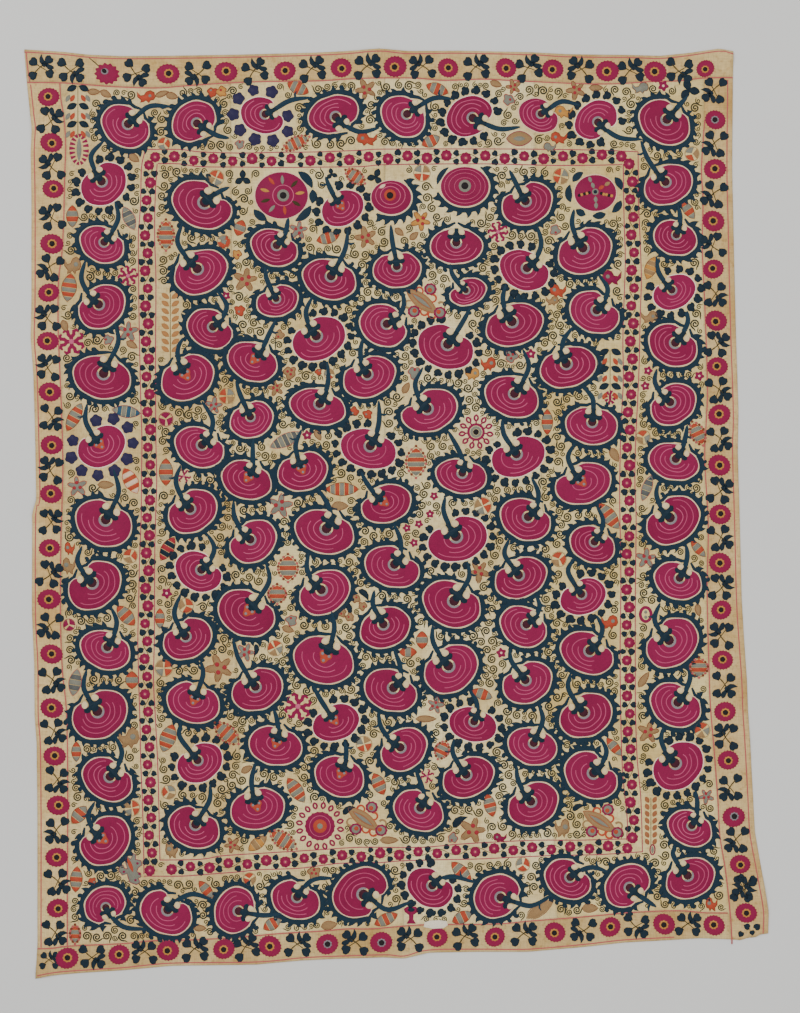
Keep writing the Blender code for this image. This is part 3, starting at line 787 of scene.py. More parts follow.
dye_lots = random.Random(5)
heads, dots, eyes, calyxes = new_work(), new_work(), new_work(), new_work()
arcs, outlines, crescents, wreaths, stems = new_work(), new_work(), new_work(), new_work(), new_work()
spikes, hooks, knobs, leaves, violet_leaves = [], [], [], [], []
taken = []
for entry in " ".join(FLOWERS.split()).rstrip(",").split(","):
    *numbers, kinds = entry.split()
    left, top, right, bottom, mouth_x, mouth_y, bend_x, bend_y, end_x, end_y = map(float, numbers)
    middle = np.array([(left + right) / 2, (top + bottom) / 2])
    half = np.array([(right - left) / 2, (bottom - top) / 2])
    mouth = np.array([mouth_x, mouth_y])
    size = half.mean()
    inward = (middle - mouth) / np.hypot(*(middle - mouth))
    sideways = np.array([-inward[1], inward[0]])
    core = mouth + CORE_SHARE * (middle - mouth)
    reach = np.hypot(*(core - mouth))
    skew = -0.42 * inward[0] * inward[1]
    gap = math.atan2(DOT_OFFSET * size, reach)
    start = math.atan2(*(mouth - core)[::-1])
    run = 2 * math.pi - 2 * gap
    offsets = np.concatenate([[0, 0.03], np.linspace(0.09, run - 0.09, 38), [run - 0.03, run]])
    turns = start + gap + offsets
    out_x, out_y = np.cos(turns) / half[0], np.sin(turns) / half[1]
    in_x, in_y = (core - middle) / half
    out_y = (out_y - out_x * math.sin(skew)) / math.cos(skew)
    in_y = (in_y - in_x * math.sin(skew)) / math.cos(skew)
    square, cross = out_x**2 + out_y**2, in_x * out_x + in_y * out_y
    full = (-cross + np.sqrt(cross**2 - square * (in_x**2 + in_y**2 - 1))) / square - HEM_CM
    full *= 1 + 0.012 * np.sin(3 * turns + mouth_x) + 0.008 * np.sin(7 * turns + mouth_y)
    from_end = np.minimum(offsets, run - offsets)
    horn = np.hypot(DOT_OFFSET * size, reach)
    ease = np.sqrt(1 - (1 - np.minimum(from_end / HORN_TURN, 1)) ** 2)
    outer = horn + DOT_RADIUS * size + (full - horn - DOT_RADIUS * size) * ease
    lip = (1 - np.minimum(from_end / LIP_TURN, 1)) ** 2
    eye = (ORANGE_EYE_SHARE if "o" in kinds else EYE_SHARE) * size
    inner = eye + (horn - DOT_RADIUS * size - eye) * lip
    crimson = varied(CRIMSON, 5)
    sew_rows(heads, core, turns, inner, outer, crimson)
    around = np.stack([np.cos(turns), np.sin(turns)], axis=1)
    edge_cream = CREAM if kinds[0] in "sn" else (238, 212, 192)
    draw_line(outlines, core + around * outer[:, None], OUTLINE_CM, varied(edge_cream, 5))
    for arc, share in enumerate(ARC_PLACES):
        arc_reach = eye + 0.25 + (outer - eye - 0.25) * (share + dye_lots.uniform(-0.03, 0.03))
        arc_reach *= 1 + 0.02 * np.sin(4 * turns + 2 * arc + mouth_x)
        drawn = (offsets > dye_lots.uniform(0.25, 1.7)) & (run - offsets > dye_lots.uniform(0.25, 1.7))
        draw_line(arcs, (core + around * arc_reach[:, None])[drawn], ARC_CM, varied(ROSE, 10))
    for side in (-1, 1):
        spot = mouth + sideways * side * DOT_OFFSET * size
        sew_pad(dots, disc(*spot, DOT_RADIUS * size * 1.06, 12, 0.82, math.degrees(start) + 35 * side),
                varied(DOT_CREAM, 5))
    facing_in = math.atan2(inward[1], inward[0])
    if "o" in kinds:
        clover = scalloped(size * 0.23, 1.0, 3, 0.2, 24)
        sew_pad(eyes, turned(clover, *(core + inward * 0.1), math.degrees(facing_in)), EYE_RED, 0.9)
        for side in (-1, 0, 1):
            off = (inward * (0.15 - 0.22 * side * side) + sideways * side * 0.13) * size
            sew_pad(dots, disc(*(core + inward * 0.1 + off), size * 0.062, 8), EYE_GREY)
    else:
        bow = facing_in + np.linspace(-1.5, 1.5, 9)
        ring = core + np.stack([np.cos(bow), np.sin(bow)], axis=1) * eye * 0.95
        widths = size * 0.105 * np.array([0.5, 0.9, 1.1, 1.2, 1.2, 1.2, 1.1, 0.9, 0.5])
        draw_line(crescents, ring, widths, EYE_GREY)
        sew_pad(eyes, disc(*(core - inward * 0.1), eye * 0.77, 12), EYE_DARK)
    lobes = [(-1.0, 0.55), (0.0, 0.55), (0.6, 0.8), (0.85, 1.2), (0.6, 1.75), (0.75, 2.35), (1.35, 2.65),
             (1.95, 2.2), (2.15, 1.5), (1.85, 1.0), (2.1, 0.95), (2.55, 0.75), (2.8, 0.3)]
    lobes = np.array(lobes + [(along, -across) for along, across in lobes[::-1]]) * size / 6.2
    sew_pad(calyxes, mouth + lobes[:, :1] * inward + lobes[:, 1:] * sideways, CALYX, 1.5)
    stem = smooth_line([mouth + inward * 0.4, (bend_x, bend_y), (end_x, end_y)], 0.7)
    if kinds[-1] == "x":
        stem = stem[:2]
    share = np.linspace(0, 1, len(stem))
    draw_line(stems, stem, np.interp(share, [0, 0.25, 0.6, 0.88, 1], [1.2, 1.6, 1.55, 1.1, 0.4]), STEM_TEAL)
    if kinds[-1] != "x" and dye_lots.random() < 0.45:
        bud, bud_side = stem[int(len(stem) * 0.66)], dye_lots.choice((-1, 1)) * sideways
        draw_line(stems, [bud, bud + bud_side * 1.2 - inward * 0.35, bud + bud_side * 1.7 - inward * 1.0],
                  [0.7, 0.75, 0.3], STEM_TEAL)
    taken += [(x, y, 0.8) for x, y in stem[::2]]
    for turn, far in zip(turns, outer):
        taken.append((*out_from(core, turn, far - 1.5), 1.5 + WREATH_REACH[kinds[0]]))
    taken.append((*middle, size - 1.0))
    lengths = walked_along(around * outer[:, None])
    if kinds[0] == "s":
        band = from_end > 0.14
        swell = np.minimum(0.55 + (from_end[band] - 0.14) / 0.5, 1) * (1 + 0.1 * np.sin(9 * turns[band]))
        round_dot = DOT_RADIUS * size + 0.8
        bends, tips = [], []
        for side in (-1, 1):
            bend = round_dot * (side * 0.35 * sideways - 0.9 * inward)
            bends.append(mouth + side * DOT_OFFSET * size * sideways + bend)
            tips.append(mouth - inward * (round_dot + 0.7) + sideways * side * 0.3)
        rim = (core + around * (outer + 0.86)[:, None])[band]
        widths = np.concatenate([[0.6, 1.05], WREATH_CM * swell, [1.05, 0.6]])
        draw_line(wreaths, np.vstack([tips[0], bends[0], rim, bends[1], tips[1]]), widths, TEAL)
        spot = 0.5
        while spot < lengths[-1] - 0.3:
            turn, far = at_distance(spot, lengths, turns, outer)
            tooth = (*out_from(core, turn, far + 1.4), math.degrees(turn), 1.0)
            dye_lots.choice((spikes, hooks, knobs)).append(tooth)
            spot += dye_lots.uniform(1.25, 1.85)
    elif kinds[0] in "lv":
        pitch, out, row = (2.2, 1.36, leaves) if kinds[0] == "l" else (3.3, 1.85, violet_leaves)
        for spot in np.arange(0.4, lengths[-1] - 0.2, pitch):
            turn, far = at_distance(spot, lengths, turns, outer)
            row.append((*out_from(core, turn, far + out), math.degrees(turn), 1.12))

head_silk, cream_silk, dark_silk = silk("head_silk"), silk("cream_silk"), silk("dark_silk", 0.5)
sew_shapes("flower_heads", heads, head_silk)
sew_drawn("flower_arcs", arcs, head_silk, 0.5, lift_mm=0.7)
sew_drawn("flower_outlines", outlines, cream_silk, 1.0, 5)
sew_shapes("flower_eyes", eyes, cream_silk, lift_mm=0.1)
sew_drawn("flower_crescents", crescents, cream_silk, 0.8, lift_mm=0.5)
sew_drawn("flower_wreaths", wreaths, dark_silk, 0.8, 5)
sew_drawn("flower_stems", stems, dark_silk, 1.2, 5)
sew_shapes("flower_calyxes", calyxes, dark_silk)
sew_shapes("mouth_dots", dots, cream_silk, lift_mm=1.0)
spike_shape = [
    (-0.5, -0.8), (0.05, -0.62), (0.45, -0.38), (0.85, 0.05), (1.15, 0.6), (0.65, 0.52), (0.2, 0.6),
    (-0.5, 0.9),
]
hook_shape = [(x, -y) for x, y in spike_shape]
knob_shape = [
    (-0.5, -0.75), (0.1, -0.5), (0.3, -0.8), (0.8, -0.8), (1.05, -0.4), (0.95, 0.1), (0.6, 0.4),
    (0.15, 0.5), (-0.5, 0.85),
]
TOOTH_UNEVEN, LEAF_UNEVEN, EVEN = (0.2, 0.3), (0.12, 0.9), (0.0, 0.0)
teeth = {}
for name, shape, places in (
    ("spike", spike_shape, spikes), ("hook", hook_shape, hooks), ("knob", knob_shape, knobs),
):
    teeth[name] = motif("wreath_" + name, [(shape, TEAL)])
    sew_copies(f"wreath_{name}s", teeth[name], places, dark_silk, uneven=TOOTH_UNEVEN)
leaf_shape = [
    (1.2, 0.1), (0.85, 0.4), (0.65, 0.85), (0.15, 1.05), (-0.35, 0.95), (-0.7, 0.75), (-0.95, 0.3),
    (-0.8, -0.2), (-1.0, -0.55), (-0.6, -0.95), (0.0, -0.95), (0.35, -0.6), (0.85, -0.5),
]
leaf = motif("wreath_leaf", [(leaf_shape, NAVY)])
sew_copies("wreath_leaves", leaf, leaves, dark_silk, uneven=LEAF_UNEVEN)
petal_turns = np.linspace(0, 2 * math.pi, 25, endpoint=False)
violet_rim = disc(0, 0, 1.4, 25) * (0.8 + 0.24 * abs(np.cos(2.5 * petal_turns)))[:, None]
violet_leaf = motif("violet_leaf", [(violet_rim, VIOLET)])
sew_copies("violet_leaves", violet_leaf, violet_leaves, dark_silk)

# The outer border: oval crimson rosettes with a toothed yellow ring round a dark middle, one every
# thirteen centimetres or so, and between them crossed olive stalks with navy leaves, joined in a
# cluster at one corner of each sprig. They are sewn on the bands one by one, so no two sit quite alike.
OLIVE, YELLOW, DARK = dyed(58, 50, 26), dyed(184, 128, 60), dyed(28, 22, 24)
ROSETTES = {
    "top": (
        "26.5 18, 42 18.5, 56.5 18, 71.2 17.8, 85.3 17, 98.8 16.7, 112 17, 126.5 17, 138.2 17.3,"
        "151.8 17.8, 163.8 18, 176.3 17.2"
    ),
    "left": (
        "12.2 24.3, 12.9 35.7, 13.3 47.3, 13 61, 12.2 73.2, 12 85.3, 12.5 98, 13 111.2, 12.8 123.5,"
        "12.4 137, 12.3 149.8, 12.9 163.5, 13 177, 13.7 189, 14.6 201.3, 14.2 214.3, 14.4 227"
    ),
    "bottom": (
        "16.8 239.5, 29.8 238.6, 42 237.6, 56 237.2, 67.5 236.5, 81.8 236, 95.3 235.5, 109.3 234.3,"
        "123.7 234.2, 138.7 233, 152.5 231.7, 166 231, 178.5 231.3"
    ),
    "right": (
        "178.8 30, 178.7 42.3, 178.3 55.3, 178.3 67.3, 179 80.2, 179.3 91.7, 179.8 103.7, 179.8 116.3,"
        "180 128.6, 180 140.7, 180.3 152.5, 180.6 165, 181.2 177.9, 182 190, 183.4 204.2, 185 216,"
        "186.5 228.2"
    ),
}
END_SPRIGS = {
    "top": [(10.5, 17, 1.0), (18, 17.5, 1.0)], "left": [(13.6, 233.4, 1.0)], "bottom": [(12.5, 240.1, 0.74)],
    "right": [(178.6, 22.8, 1.0), (186.1, 221.7, 0.95)],
}
END_LEAVES = [
    (186.7, 231.6, 200, 0.85), (189.2, 231.6, 320, 0.9), (185.2, 233.5, 120, 0.8),
    (188.0, 233.1, 80, 0.7),
]
SMALLEST_ROSETTE, SMALLEST_SHARE = (176.3, 17.2), 0.82
GREY_RINGS = {(178.8, 30), (183.4, 204.2), (81.8, 236), (95.3, 235.5)}


def read_places(text):
    """Numbers from a charted list, one tuple for each entry."""
    return [tuple(map(float, entry.split())) for entry in text.rstrip(",").split(",")]


def stroke(points, width):
    """Outline of a thin stalk along a drawn line."""
    points = np.asarray(points, dtype=float)
    slope = np.gradient(points, axis=0)
    side = np.stack([-slope[:, 1], slope[:, 0]], axis=1) / np.hypot(*slope.T)[:, None] * width / 2
    return np.vstack([points + side, (points - side)[::-1]])


rosette_crimson = dyed(128, 18, 60)
heart_leaf = [
    (1.1, 0.05), (0.6, 0.6), (0.2, 0.95), (-0.4, 1.0), (-0.9, 0.55), (-0.8, 0.0), (-0.95, -0.5),
    (-0.45, -0.95), (0.2, -0.9), (0.65, -0.55),
]
comma_leaf = [
    (-1.3, -0.2), (-0.8, -0.75), (0.1, -0.8), (0.9, -0.3), (1.45, 0.75), (0.8, 0.55), (0.2, 0.45),
    (-0.5, 0.4), (-1.0, 0.25),
]
sprig_shapes = [
    (stroke([(-1.9, -1.1), (-0.6, -0.3), (0.8, 0.5), (1.9, 1.3)], 0.22), OLIVE),
    (stroke([(2.1, -1.6), (1.2, -0.5), (0.1, 0.5), (-1.0, 1.2)], 0.24), OLIVE),
    (turned(heart_leaf, 2.3, -1.95, 150, 1.2), NAVY), (turned(heart_leaf, -2.0, -1.5, 20, 1.2), NAVY),
    (turned(heart_leaf, 2.15, 1.5, 220, 1.22), NAVY), (turned(heart_leaf, -1.75, 2.05, -40, 1.18), NAVY),
    (turned(comma_leaf, -0.1, 1.9, 55, 1.05), NAVY), (turned(comma_leaf, -1.9, 0.45, 15, 1.05), NAVY),
    (turned(heart_leaf, -0.75, 1.05, 70, 0.85), NAVY),
]
sprig = motif("border_sprig", sprig_shapes, 0.8, 0.05, 1)
mirrored_shapes = [(shape * (-1, 1), dye) for shape, dye in sprig_shapes]
other_sprig = motif("other_border_sprig", mirrored_shapes, 0.8, 0.05, 1)
rosette = motif("rosette", [(scalloped(2.75, 0.9, 21, 0.05, 63), rosette_crimson)], 0.9, 0.07, 2)
oval_rosette = motif("oval_rosette", [(scalloped(2.85, 0.84, 19, 0.05, 57), rosette_crimson)], 0.9, 0.07, 2)
rosette_ring = motif("rosette_ring", [(scalloped(1.12, 0.97, 9, 0.09, 36), YELLOW)], 0.6)
grey_ring = motif("rosette_grey_ring", [(scalloped(1.05, 0.97, 9, 0.1, 36), EYE_GREY)], 0.6)
rosette_middle = motif("rosette_middle", [(scalloped(0.72, 1.0, 5, 0.05, 15), DARK)], 0.6)
round_places, oval_places, rings, grey_rings, middles, sprigs, other_sprigs = [], [], [], [], [], [], []
hand = random.Random(17)
for side, listed in ROSETTES.items():
    spots = read_places(listed)
    for spot in spots[side == "top":]:
        lean, size = hand.uniform(-35, 35), hand.uniform(0.94, 1.06)
        size *= SMALLEST_SHARE if spot == SMALLEST_ROSETTE else 1.0
        oval = side == "left" or (side == "top" and spot[0] < 80)
        (oval_places if oval else round_places).append((*spot, lean * (0.5 if oval else 1), size))
        off = (spot[0] + hand.uniform(-0.2, 0.2), spot[1] + hand.uniform(-0.2, 0.2))
        (grey_rings if spot in GREY_RINGS else rings).append((*off, lean, size))
        middles.append((*off, lean, size))
    halfway = [((a[0] + b[0]) / 2, (a[1] + b[1]) / 2, 1.0) for a, b in zip(spots, spots[1:])]
    for x, y, size in halfway + END_SPRIGS[side]:
        row = hand.choice((sprigs, other_sprigs))
        lean = hand.choice((0, 180)) + hand.uniform(-12, 12) + (90 if side in ("left", "right") else 0)
        row.append((x, y, lean, size))
border_silk = silk("border_silk", 0.55, 1.3)
end_flower, end_stalk = new_work(), new_work()
end_rim = turned(scalloped(3.0, 0.84, 13, 0.09, 65), 26.8, 18.5, 12)
sew_pad(end_flower, end_rim, rosette_crimson, 0.9, 0.07, 2)
sew_pad(end_flower, disc(26.2, 17.9, 1.0, 16, 0.85), EYE_GREY, 1.3)
sew_pad(end_flower, disc(26.1, 17.8, 0.72, 14, 0.8, 40), DARK, 1.6)
draw_line(end_stalk, [(25.4, 17.2), (23.9, 15.8), (22.2, 14.4)], [0.5, 0.42, 0.3], OLIVE)
sew_shapes("end_flower", end_flower, border_silk)
sew_drawn("end_flower_stalk", end_stalk, dark_silk, 0.6)
sew_copies("border_rosettes", rosette, round_places, border_silk, uneven=EVEN)
sew_copies("oval_border_rosettes", oval_rosette, oval_places, border_silk, uneven=EVEN)
sew_copies("rosette_rings", rosette_ring, rings, border_silk, 0.75, EVEN)
sew_copies("rosette_grey_rings", grey_ring, grey_rings, border_silk, 0.75, EVEN)
sew_copies("rosette_middles", rosette_middle, middles, border_silk, 1.25, EVEN)
end_leaf = motif("end_leaf", [(heart_leaf, NAVY)])
sew_copies("corner_leaves", end_leaf, END_LEAVES, dark_silk, uneven=EVEN)
sew_copies("border_sprigs", sprig, sprigs, dark_silk, 0.0, (0.04, 0.06))
sew_copies("other_border_sprigs", other_sprig, other_sprigs, dark_silk, 0.0, (0.04, 0.06))

# The narrow inner border: two pink lines with a row of little round flowers between them, each with a
# rose ring and a pale eye, and a wavy stalk with pairs of small navy leaves in the gaps.
PINK_LINE = dyed(150, 50, 78)
PINK_LINES = {
    "outer top": (
        "36 37.4, 45 37.4, 50 38, 60 38.3, 70 38.1, 80 38, 90 37.6, 97 37.3, 130 37.3, 150 37.6, 159.4 38"
    ),
    "outer right": (
        "159.5 38, 159.6 50, 160 60, 160.3 70, 160 80, 159.8 90, 159.4 100, 158.9 110, 158.7 120, 159 130,"
        "158.8 150, 158.8 170, 158.9 180, 159.3 190, 160.2 200, 160.6 213"
    ),
    "outer bottom": (
        "36 219, 45 219, 50 218.7, 55 218.3, 60 217.9, 65 217.4, 75 217, 85 215.8, 95 215.6, 100 215.2,"
        "110 214.9, 120 214.7, 130 214.2, 140 213.8, 150 213.6, 160.5 212.9"
    ),
    "outer left": (
        "36.2 38, 35.4 42, 35.2 50, 34.9 55, 34.6 60, 34.8 80, 35 90, 35.2 100, 35.5 110, 35.4 120,"
        "35.3 130, 34.9 140, 34.7 150, 34.5 160, 34.7 170, 35 180, 35.2 190, 35.6 200, 35.9 210, 36 218.5"
    ),
    "inner top": (
        "39.5 40.9, 45 41, 50 41.7, 60 41.8, 70 41.9, 80 41.8, 90 41.7, 97 41.2, 120 41, 140 41.4,"
        "155.5 41.2"
    ),
    "inner right": (
        "155.8 41, 156 55, 156.3 65, 156 75, 155.7 85, 155.8 95, 155.3 105, 155 115, 154.9 125, 155.2 145,"
        "155 165, 155.3 185, 155.8 195, 156.8 205, 156.6 210"
    ),
    "inner bottom": (
        "40 215, 50 214.8, 55 214, 60 213.6, 70 213, 80 212.4, 90 211.8, 105 211.8, 115 211, 125 210.4,"
        "135 210, 145 210, 156.5 209.7"
    ),
    "inner left": (
        "39.3 41, 38.8 50, 38.7 60, 39 70, 38.9 90, 39 110, 39.2 120, 38.9 130, 38.7 140, 38.6 160,"
        "38.4 170, 38.9 180, 39.4 190, 39.7 200, 40 215"
    ),
}
ROSETTE_RUNS = [
    ("38.8 39, 50 39.9, 70 40, 90 39.6, 110 39.2, 140 39.4, 155.3 38.8", 25),
    ("37.6 41.3, 37 50, 36.6 60, 36.9 90, 37.3 110, 37.1 130, 36.7 150, 36.5 170, 37.2 190, 37.8 217.6", 41),
    ("157.6 41, 158.2 65, 157.9 85, 157.1 110, 157 130, 157 165, 157.4 190, 158.4 209.4", 39),
    ("42.9 217, 50 216.8, 60 215.8, 75 214.9, 90 213.8, 110 213, 130 212.2, 156.8 211.7", 25),
]
inner_lines, vine = new_work(), new_work()
for line in PINK_LINES.values():
    draw_line(inner_lines, smooth_line(read_places(line), 0.9), 0.38, PINK_LINE)
    taken += [(x, y, 0.5) for x, y in smooth_line(read_places(line), 0.5)]
small_rosettes, small_leaves = [], []
for listed, count in ROSETTE_RUNS:
    path = smooth_line(read_places(listed), 0.35)
    walked = walked_along(path)
    pitch = walked[-1] / (count - 1)
    aim = path[-1] - path[0]
    side = np.array([-aim[1], aim[0]]) / np.hypot(*aim)
    for place in range(count):
        spot = point_along(path, walked, place * pitch)
        off = side * 0.32 * (-1) ** place
        small_rosettes.append((*(spot + off), hand.uniform(0, 40), hand.uniform(0.92, 1.08)))
        taken.append((*spot, 2.2))
        for across in (-1.08, 1.08):
            if place < count - 1:
                gap = point_along(path, walked, (place + 0.5) * pitch) + side * across - off * 0.5
                small_leaves.append((*gap, hand.uniform(0, 360), hand.uniform(0.78, 1.0)))
    wave = np.sin(walked / pitch * math.pi + math.pi / 2)
    draw_line(vine, path - side * 0.85 * wave[:, None], 0.24, OLIVE)
small_rosette = motif("small_rosette", [(scalloped(1.33, 1.0, 9, 0.06, 36), rosette_crimson)], 0.8)
small_ring = motif("small_rosette_ring", [(scalloped(0.5, 1.0, 6, 0.05, 12), dyed(158, 58, 86))], 0.5)
small_eye = motif("small_rosette_eye", [(disc(0, 0, 0.2, 8), dyed(214, 168, 118))], 0.4)
small_leaf = motif("small_leaf", [(turned(heart_leaf, 0, 0, 0, 0.95), NAVY)], 0.6)
sew_drawn("inner_border_lines", inner_lines, brick_silk, 0.7)
sew_drawn("inner_border_vine", vine, dark_silk, 0.5)
sew_copies("small_rosettes", small_rosette, small_rosettes, border_silk, uneven=EVEN)
sew_copies("small_rosette_rings", small_ring, small_rosettes, border_silk, lift_mm=0.65, uneven=EVEN)
sew_copies("small_rosette_eyes", small_eye, small_rosettes, border_silk, lift_mm=1.0, uneven=EVEN)
sew_copies("small_leaves", small_leaf, small_leaves, dark_silk, uneven=(0.0, 0.2))

# The odd flowers among the kidney-shaped ones: a ray flower, a banded round, a six-armed round, a
# cored round and two little suns. Each is a crimson round or ring with smaller shapes sewn over it.
ORANGE, GREY, TAN, BROWN = dyed(168, 66, 42), dyed(120, 119, 106), dyed(146, 114, 76), dyed(112, 50, 34)
PALE_ROSE = dyed(186, 92, 118)
CREAM_SILK, PLAIN_CRIMSON = dyed(*CREAM), dyed(*CRIMSON)
rounds, round_details, round_tops, round_lines = new_work(), new_work(), new_work(), new_work()
round_rings = new_work()


def round_head(x, y, half_wide, half_high, wreath=None):
    """A crimson round with a cream edge, and a spiked wreath from one turn to another where it has one."""
    shape = disc(x, y, half_wide, 40, half_high / half_wide)
    sew_pad(rounds, shape, PLAIN_CRIMSON, 0.8, 0.1)
    draw_line(round_lines, shape, 0.32, CREAM_SILK, closed=True)
    taken.append((x, y, max(half_wide, half_high) + (2.2 if wreath else 0.5)))
    if wreath:
        band = np.radians(np.arange(*wreath, 6))
        line = np.stack([x + (half_wide + 0.9) * np.cos(band), y + (half_high + 0.9) * np.sin(band)], axis=1)
        stops = [0, 3, len(band) - 4, len(band)]
        draw_line(odd_wreaths, line, np.interp(np.arange(len(band)), stops, [0.4, 1.5, 1.5, 0.4]), TEAL)
        for turn in band[2:-2:3]:
            spot = (x + (half_wide + 1.6) * math.cos(turn), y + (half_high + 1.6) * math.sin(turn))
            odd_teeth.append((*spot, math.degrees(turn), 1.05))


def crescent(x, y, half_wide, half_high, start, end, width=1.5):
    """A curved navy leaf lying round a flower, from one turn to another."""
    band = np.radians(np.linspace(start, end, 9))
    line = np.stack([x + half_wide * np.cos(band), y + half_high * np.sin(band)], axis=1)
    draw_line(odd_wreaths, line, width * np.array([0.15, 0.55, 0.85, 1.0, 1.0, 0.95, 0.8, 0.5, 0.15]), TEAL)
    taken.extend((*spot, width / 2 + 0.2) for spot in line)


def ring_line(work, x, y, radius, width, dye, squash=1.0):
    draw_line(work, disc(x, y, radius, 28, squash), width, dye, closed=True)


def spindle(x, y, long, wide, lean=0.0, points=6, fat=0.5):
    """Outline of a pointed leaf lying along its lean, fattest where fat says."""
    share = np.linspace(0, 1, points + 1)
    swell = np.sin(math.pi * share ** (math.log(0.5) / math.log(fat))) ** 0.75
    top = np.stack([(share - 0.5) * long, swell * wide / 2], axis=1)
    bottom = (top * (1, -1))[::-1][1:-1]
    return turned(np.vstack([top, bottom]), x, y, lean)


RAY, RAY_EYE, CORED, BANDED = (70.4, 48.9), (70.8, 48.9), (97.8, 49.4), (116.2, 46.7)
SIX_ARMED, SUN, SMALL_SUN = (148.8, 48.3), (80.0, 206.5), (119.0, 108.0)
odd_teeth, odd_wreaths = [], new_work()
round_head(*RAY, 6.7, 5.9)
for start, end in ((-58, -16), (-12, 16), (22, 64), (118, 150)):
    crescent(*RAY, 7.9, 7.0, start, end, 2.5)
ring_line(round_rings, *RAY_EYE, 2.6, 0.3, PALE_ROSE)
for x, y, dye in (
    (70.6, 45.0, GREY), (73.6, 46.0, OLIVE), (75.0, 48.3, YELLOW), (74.1, 50.9, OLIVE), (71.2, 52.6, ORANGE),
    (68.0, 52.2, GREY), (66.4, 50.2, OLIVE), (66.2, 47.6, YELLOW), (67.9, 45.3, ORANGE),
):
    lean = math.degrees(math.atan2(y - RAY_EYE[1], x - RAY_EYE[0]))
    sew_pad(round_details, spindle(x, y, 2.5, 0.9, lean), dye, 0.6, 0.04)
sew_pad(round_details, disc(*RAY_EYE, 1.55, 14), GREY, 0.5, 0.05)
sew_pad(round_tops, disc(*RAY_EYE, 0.9, 10), DARK, 0.5, 0.05)
for start, end, far in (
    (-150, -118, 6.3), (158, 200, 6.5), (-42, -8, 6.4), (18, 52, 6.6), (66, 96, 6.2), (112, 136, 6.4),
):
    crescent(*SIX_ARMED, far + 0.2, far - 0.5, start, end, 2.2)
round_head(*CORED, 5.1, 4.3, (-58, 130))
ring_line(round_rings, 97.6, 48.9, 2.5, 0.26, PALE_ROSE, 0.9)
ring_line(round_rings, 97.6, 48.9, 3.7, 0.26, PALE_ROSE, 0.85)
sew_pad(round_details, disc(97.5, 48.8, 1.5, 14), ORANGE, 0.5, 0.05)
sew_pad(round_tops, disc(97.5, 48.9, 0.9, 10), DARK, 0.4, 0.05)
sew_pad(round_details, spindle(95.6, 46.6, 1.9, 0.9, -30), CREAM_SILK, 0.5, 0.04)
round_head(*BANDED, 6.1, 5.0, (-56, 170))
crescent(*BANDED, 6.9, 5.9, -174, -126, 1.6)
for reach in (2.6, 4.0, 5.1):
    ring_line(round_rings, 116.2, 46.6, reach, 0.22, PALE_ROSE, 0.83)
sew_pad(round_details, disc(116.2, 46.5, 1.6, 14), GREY, 0.5, 0.05)
sew_pad(round_tops, disc(116.2, 46.5, 0.95, 10), DARK, 0.4, 0.05)
round_head(*SIX_ARMED, 5.3, 4.6)
sew_pad(round_details, disc(148.8, 48.0, 0.85, 12), GREY, 0.5, 0.05)
sew_pad(round_tops, disc(148.8, 48.0, 0.5, 10), NAVY, 0.5, 0.05)
for x, y, lean, dye in (
    (148.2, 46.4, 70, GREY), (147.5, 44.9, 70, GREY), (148.9, 49.9, 88, GREY), (149.0, 51.4, 88, GREY),
    (150.3, 46.9, -32, ORANGE), (151.8, 46.0, -32, TAN),
):
    sew_pad(round_details, spindle(x, y, 1.7, 1.0, lean), dye, 0.5, 0.04)
for x, y, dye in (
    (144.8, 48.9, DARK), (145.4, 48.7, YELLOW), (146.1, 48.5, DARK), (146.7, 48.4, YELLOW),
    (147.3, 48.2, DARK), (150.3, 48.4, DARK), (150.9, 48.6, YELLOW), (151.6, 48.7, YELLOW),
    (152.2, 48.9, DARK), (152.9, 49.0, YELLOW),
):
    sew_pad(round_details, disc(x, y, 0.42, 8), dye, 0.6, 0.04)
sew_pad(rounds, turned(scalloped(3.75, 0.96, 18, 0.03, 54), *SUN), PLAIN_CRIMSON, 0.8, 0.1)
sew_pad(round_details, disc(*SUN, 1.75, 18), ORANGE, 0.5, 0.05)
ring_line(round_rings, *SUN, 2.6, 0.26, PALE_ROSE)
sew_pad(round_tops, disc(*SUN, 0.75, 10), GREY, 0.5, 0.05)
ring_line(round_lines, *SMALL_SUN, 1.9, 0.75, PLAIN_CRIMSON)
ring_line(round_rings, *SMALL_SUN, 1.15, 0.6, GREY)
sew_pad(round_tops, disc(*SMALL_SUN, 0.75, 10), DARK, 0.5, 0.05)
for x, y, petals, reach in ((*SUN, 16, 5.2), (*SMALL_SUN, 11, 3.5)):
    for turn in np.linspace(0, 360, petals, endpoint=False) + 9:
        across, down = math.cos(math.radians(turn)), math.sin(math.radians(turn))
        spot = (x + reach * across, y + reach * down)
        draw_line(round_lines, spindle(*spot, 1.5, 0.95, turn), 0.58, PLAIN_CRIMSON, closed=True)
        if petals == 11:
            ray = [(x + far * across, y + far * down) for far in (2.1, 2.9)]
            draw_line(round_lines, ray, 0.45, PLAIN_CRIMSON)
    taken.append((x, y, reach + 0.9))
sew_shapes("odd_flower_heads", rounds, head_silk)
sew_drawn("odd_flower_edges", round_lines, cream_silk, 0.9, 5)
sew_drawn("odd_flower_rings", round_rings, head_silk, 0.5, lift_mm=0.7)
sew_shapes("odd_flower_rays", round_details, border_silk, lift_mm=0.75)
sew_shapes("odd_flower_eyes", round_tops, border_silk, lift_mm=1.2)
sew_copies("odd_flower_teeth", teeth["spike"], odd_teeth, dark_silk, uneven=(0.1, 0.2))
sew_drawn("odd_flower_wreaths", odd_wreaths, dark_silk, 0.8, 5)

